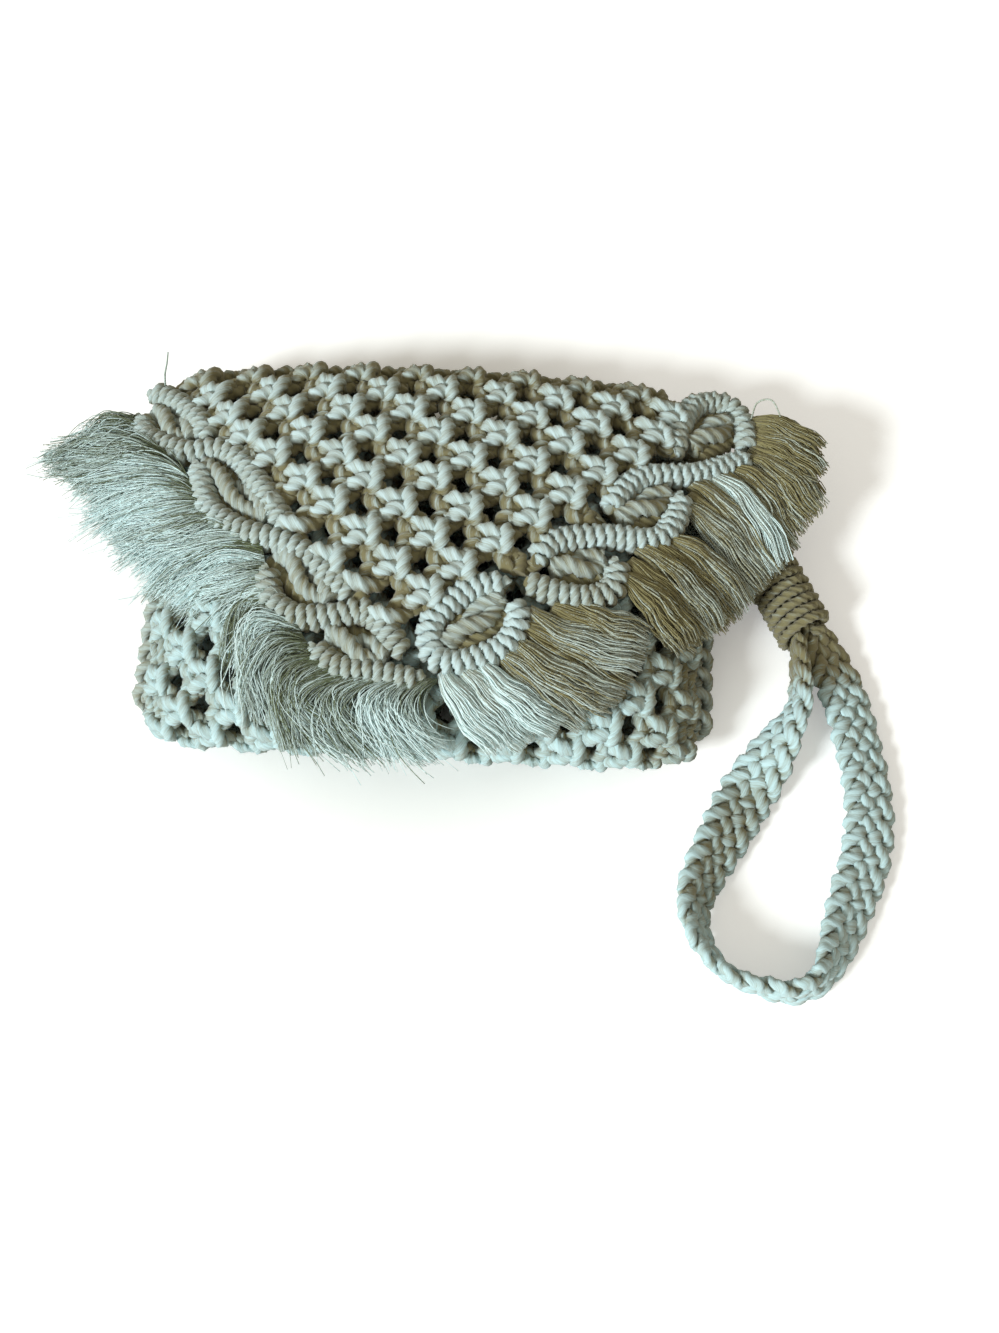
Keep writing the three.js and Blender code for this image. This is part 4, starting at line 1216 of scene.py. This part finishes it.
def band_frames():
    """Middle line of the band, its directions across the width and out of the flat, its share of the full
    width, and its roll."""
    inside = wrap_end - BAND_TUCK * STRAP_FORWARD
    route = wrap_end + np.column_stack([BAND_ROUTE[:, :2], np.zeros(len(BAND_ROUTE))])
    (first_side, first_roll), (last_side, last_roll) = BAND_ENDS
    first = first_side * STRAP_SIDEWAYS
    last = last_side * STRAP_SIDEWAYS
    points = np.vstack([inside + first, wrap_end + first, route, wrap_end + last, inside + last])
    rolls = np.concatenate([[first_roll, first_roll], BAND_ROUTE[:, 2], [last_roll, last_roll]])
    path = smooth_path(np.column_stack([points, rolls]))
    line = path[:, :3].copy()
    roll = np.radians(path[:, 3])
    forward = (line - wrap_end) @ STRAP_FORWARD
    flare = np.where(forward > 0, smooth_step(0, BAND_FLARE, np.linalg.norm(line - wrap_end, axis=1)), 0)
    neck = between(BAND_TUCKED_WIDTH, BAND_NECK_WIDTH, smooth_step(*BAND_NECK_LIMITS, forward))
    width = between(neck, BAND_WIDTH, flare)
    lying = width / 2 * np.abs(np.cos(roll)) + BAND_HALF_THICKNESS * np.abs(np.sin(roll)) + BAND_ABOVE_FLOOR
    line[:, 2] = between(STRAP_AXIS_Z, lying, flare)
    tangent = tangents(line * (1, 1, 0))
    level = np.cross(UP, tangent)
    return line, around(roll, UP, level), around(roll, level, -UP), width / BAND_WIDTH, path[:, 3]


def make_band():
    """Flat braid: each strand runs from edge to edge and back. It crosses the others at even shares of the
    width, behind and in front in turn, and passes the edge at middle depth. The strands follow one another
    at even shares of the period."""
    line, wide, thick, narrowed, roll = band_frames()
    run = lengths_along(line)
    half = BAND_WIDTH / 2 - BAND_STRAND_RADIUS
    crossings = np.arange(1, BAND_STRANDS + 1)
    depth = np.where(crossings == BAND_STRANDS, 0, np.where(crossings % 2, -1, 1)) * BAND_STRAND_LIFT
    crossings = crossings / BAND_STRANDS
    half_period = BAND_PERIOD / 2
    halves = int((run[-1] + BAND_PERIOD) / half_period) + 2

    def on_band(rings):
        """Rings of the straight braid (across, along, out), set along the band."""
        place = rings[..., 1]
        middle, across, out = (looked_up(place, run, part) for part in (line, wide, thick))
        shrink = np.interp(place, run, narrowed)[..., None]
        flat = BAND_FLATTEN * np.sqrt(shrink)
        return middle + across * rings[..., :1] * shrink + out * rings[..., 2:] * flat

    def braid_tone(rings):
        """Shaded between the strands, near the wrap and on the inner face of the loop."""
        from_middle, place, height = np.abs(rings[..., 0]), rings[..., 1], np.abs(rings[..., 2])
        hollow = smooth_step(*BRAID_DEPTH_LIMITS, height) * smooth_step(*BRAID_EDGE_LIMITS, from_middle)
        turned = np.interp(place, run, roll)
        inner = smooth_step(*INNER_START_LIMITS, turned) * smooth_step(*INNER_END_LIMITS, turned)
        inner = inner * smooth_step(*INNER_EDGE_LIMITS, from_middle)
        root = smooth_step(*BAND_ROOT_LIMITS, np.minimum(place, run[-1] - place))
        return BAND_TONE + BRAID_HOLLOW_SHADE * hollow + BAND_ROOT_SHADE * root + INNER_FACE_SHADE * inner

    cords = Cords()
    for strand in range(BAND_STRANDS):
        begin = BAND_PERIOD * (strand / BAND_STRANDS - 1)
        points = []
        for part in range(halves):
            way = 1 if part % 2 == 0 else -1
            across = way * half * (2 * crossings - 1)
            along = begin + half_period * (part + crossings)
            points.append(np.stack([across, along, depth], axis=1))
        path = smooth_path(np.vstack(points))
        path = path[(path[:, 1] > BAND_END_TRIM) & (path[:, 1] < run[-1] - BAND_END_TRIM)]
        cords.add(path, BAND_STRAND_RADIUS, braid_tone, lay=12, bend=on_band)
    band = cords.make("wrist_band_braid", band_cotton)
    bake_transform(band)
    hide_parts("wrist_band")


make_wrap()
make_tail()
make_band()


# Side lacing and mouth cord
def make_lacing(side, way):
    """Lacing of a side seam: two straight cords along the panels' edges, and a helix that takes in both."""
    cords = Cords()
    y = np.linspace(-BACK_HALF - LACING_PAST_BACK, MOUTH_Y - LACING_PAST_BACK, LACING_POINTS)
    for height in LACING_EDGE_HEIGHTS:
        edge = np.column_stack([np.full(len(y), way * HALF_WIDTH), y, np.full(len(y), height)])
        cords.add(edge, LACING_RADIUS, tone=0.35, sides=9)
    turn = 2 * np.pi * y / LACING_PITCH
    x = way * (HALF_WIDTH + LACING_OUTWARD + LACING_REACH * np.cos(turn))
    z = np.mean(LACING_EDGE_HEIGHTS) + LACING_HALF_HEIGHT * np.sin(turn)
    helix = resampled(np.column_stack([x, y, z]), LACING_STEP)
    cords.add(helix, LACING_RADIUS, tone=0.3, sides=9)
    lacing = cords.make(f"{side}_side_lacing_cord", plain_cotton)
    stand_in(lacing, f"{side}_side_lacing", "bag")


def make_mouth_cord():
    """Cord that the sheet hangs from, along the front's top edge."""
    cords = Cords()
    reach = SHEET_HALF - MOUTH_CORD_INSET
    across = np.linspace(-reach, reach, MOUTH_CORD_POINTS)
    flat = np.column_stack([across, np.full(len(across), MOUTH_CORD_ABOVE_EDGE), np.zeros(len(across))])
    cords.add(bend_sheet(flat), MOUTH_CORD_RADIUS, tone=0.35)
    mouth = cords.make("mouth_holding_cord", plain_cotton)
    stand_in(mouth, "mouth_cord", "bag")


make_lacing("left", -1)
make_lacing("right", 1)
make_mouth_cord()
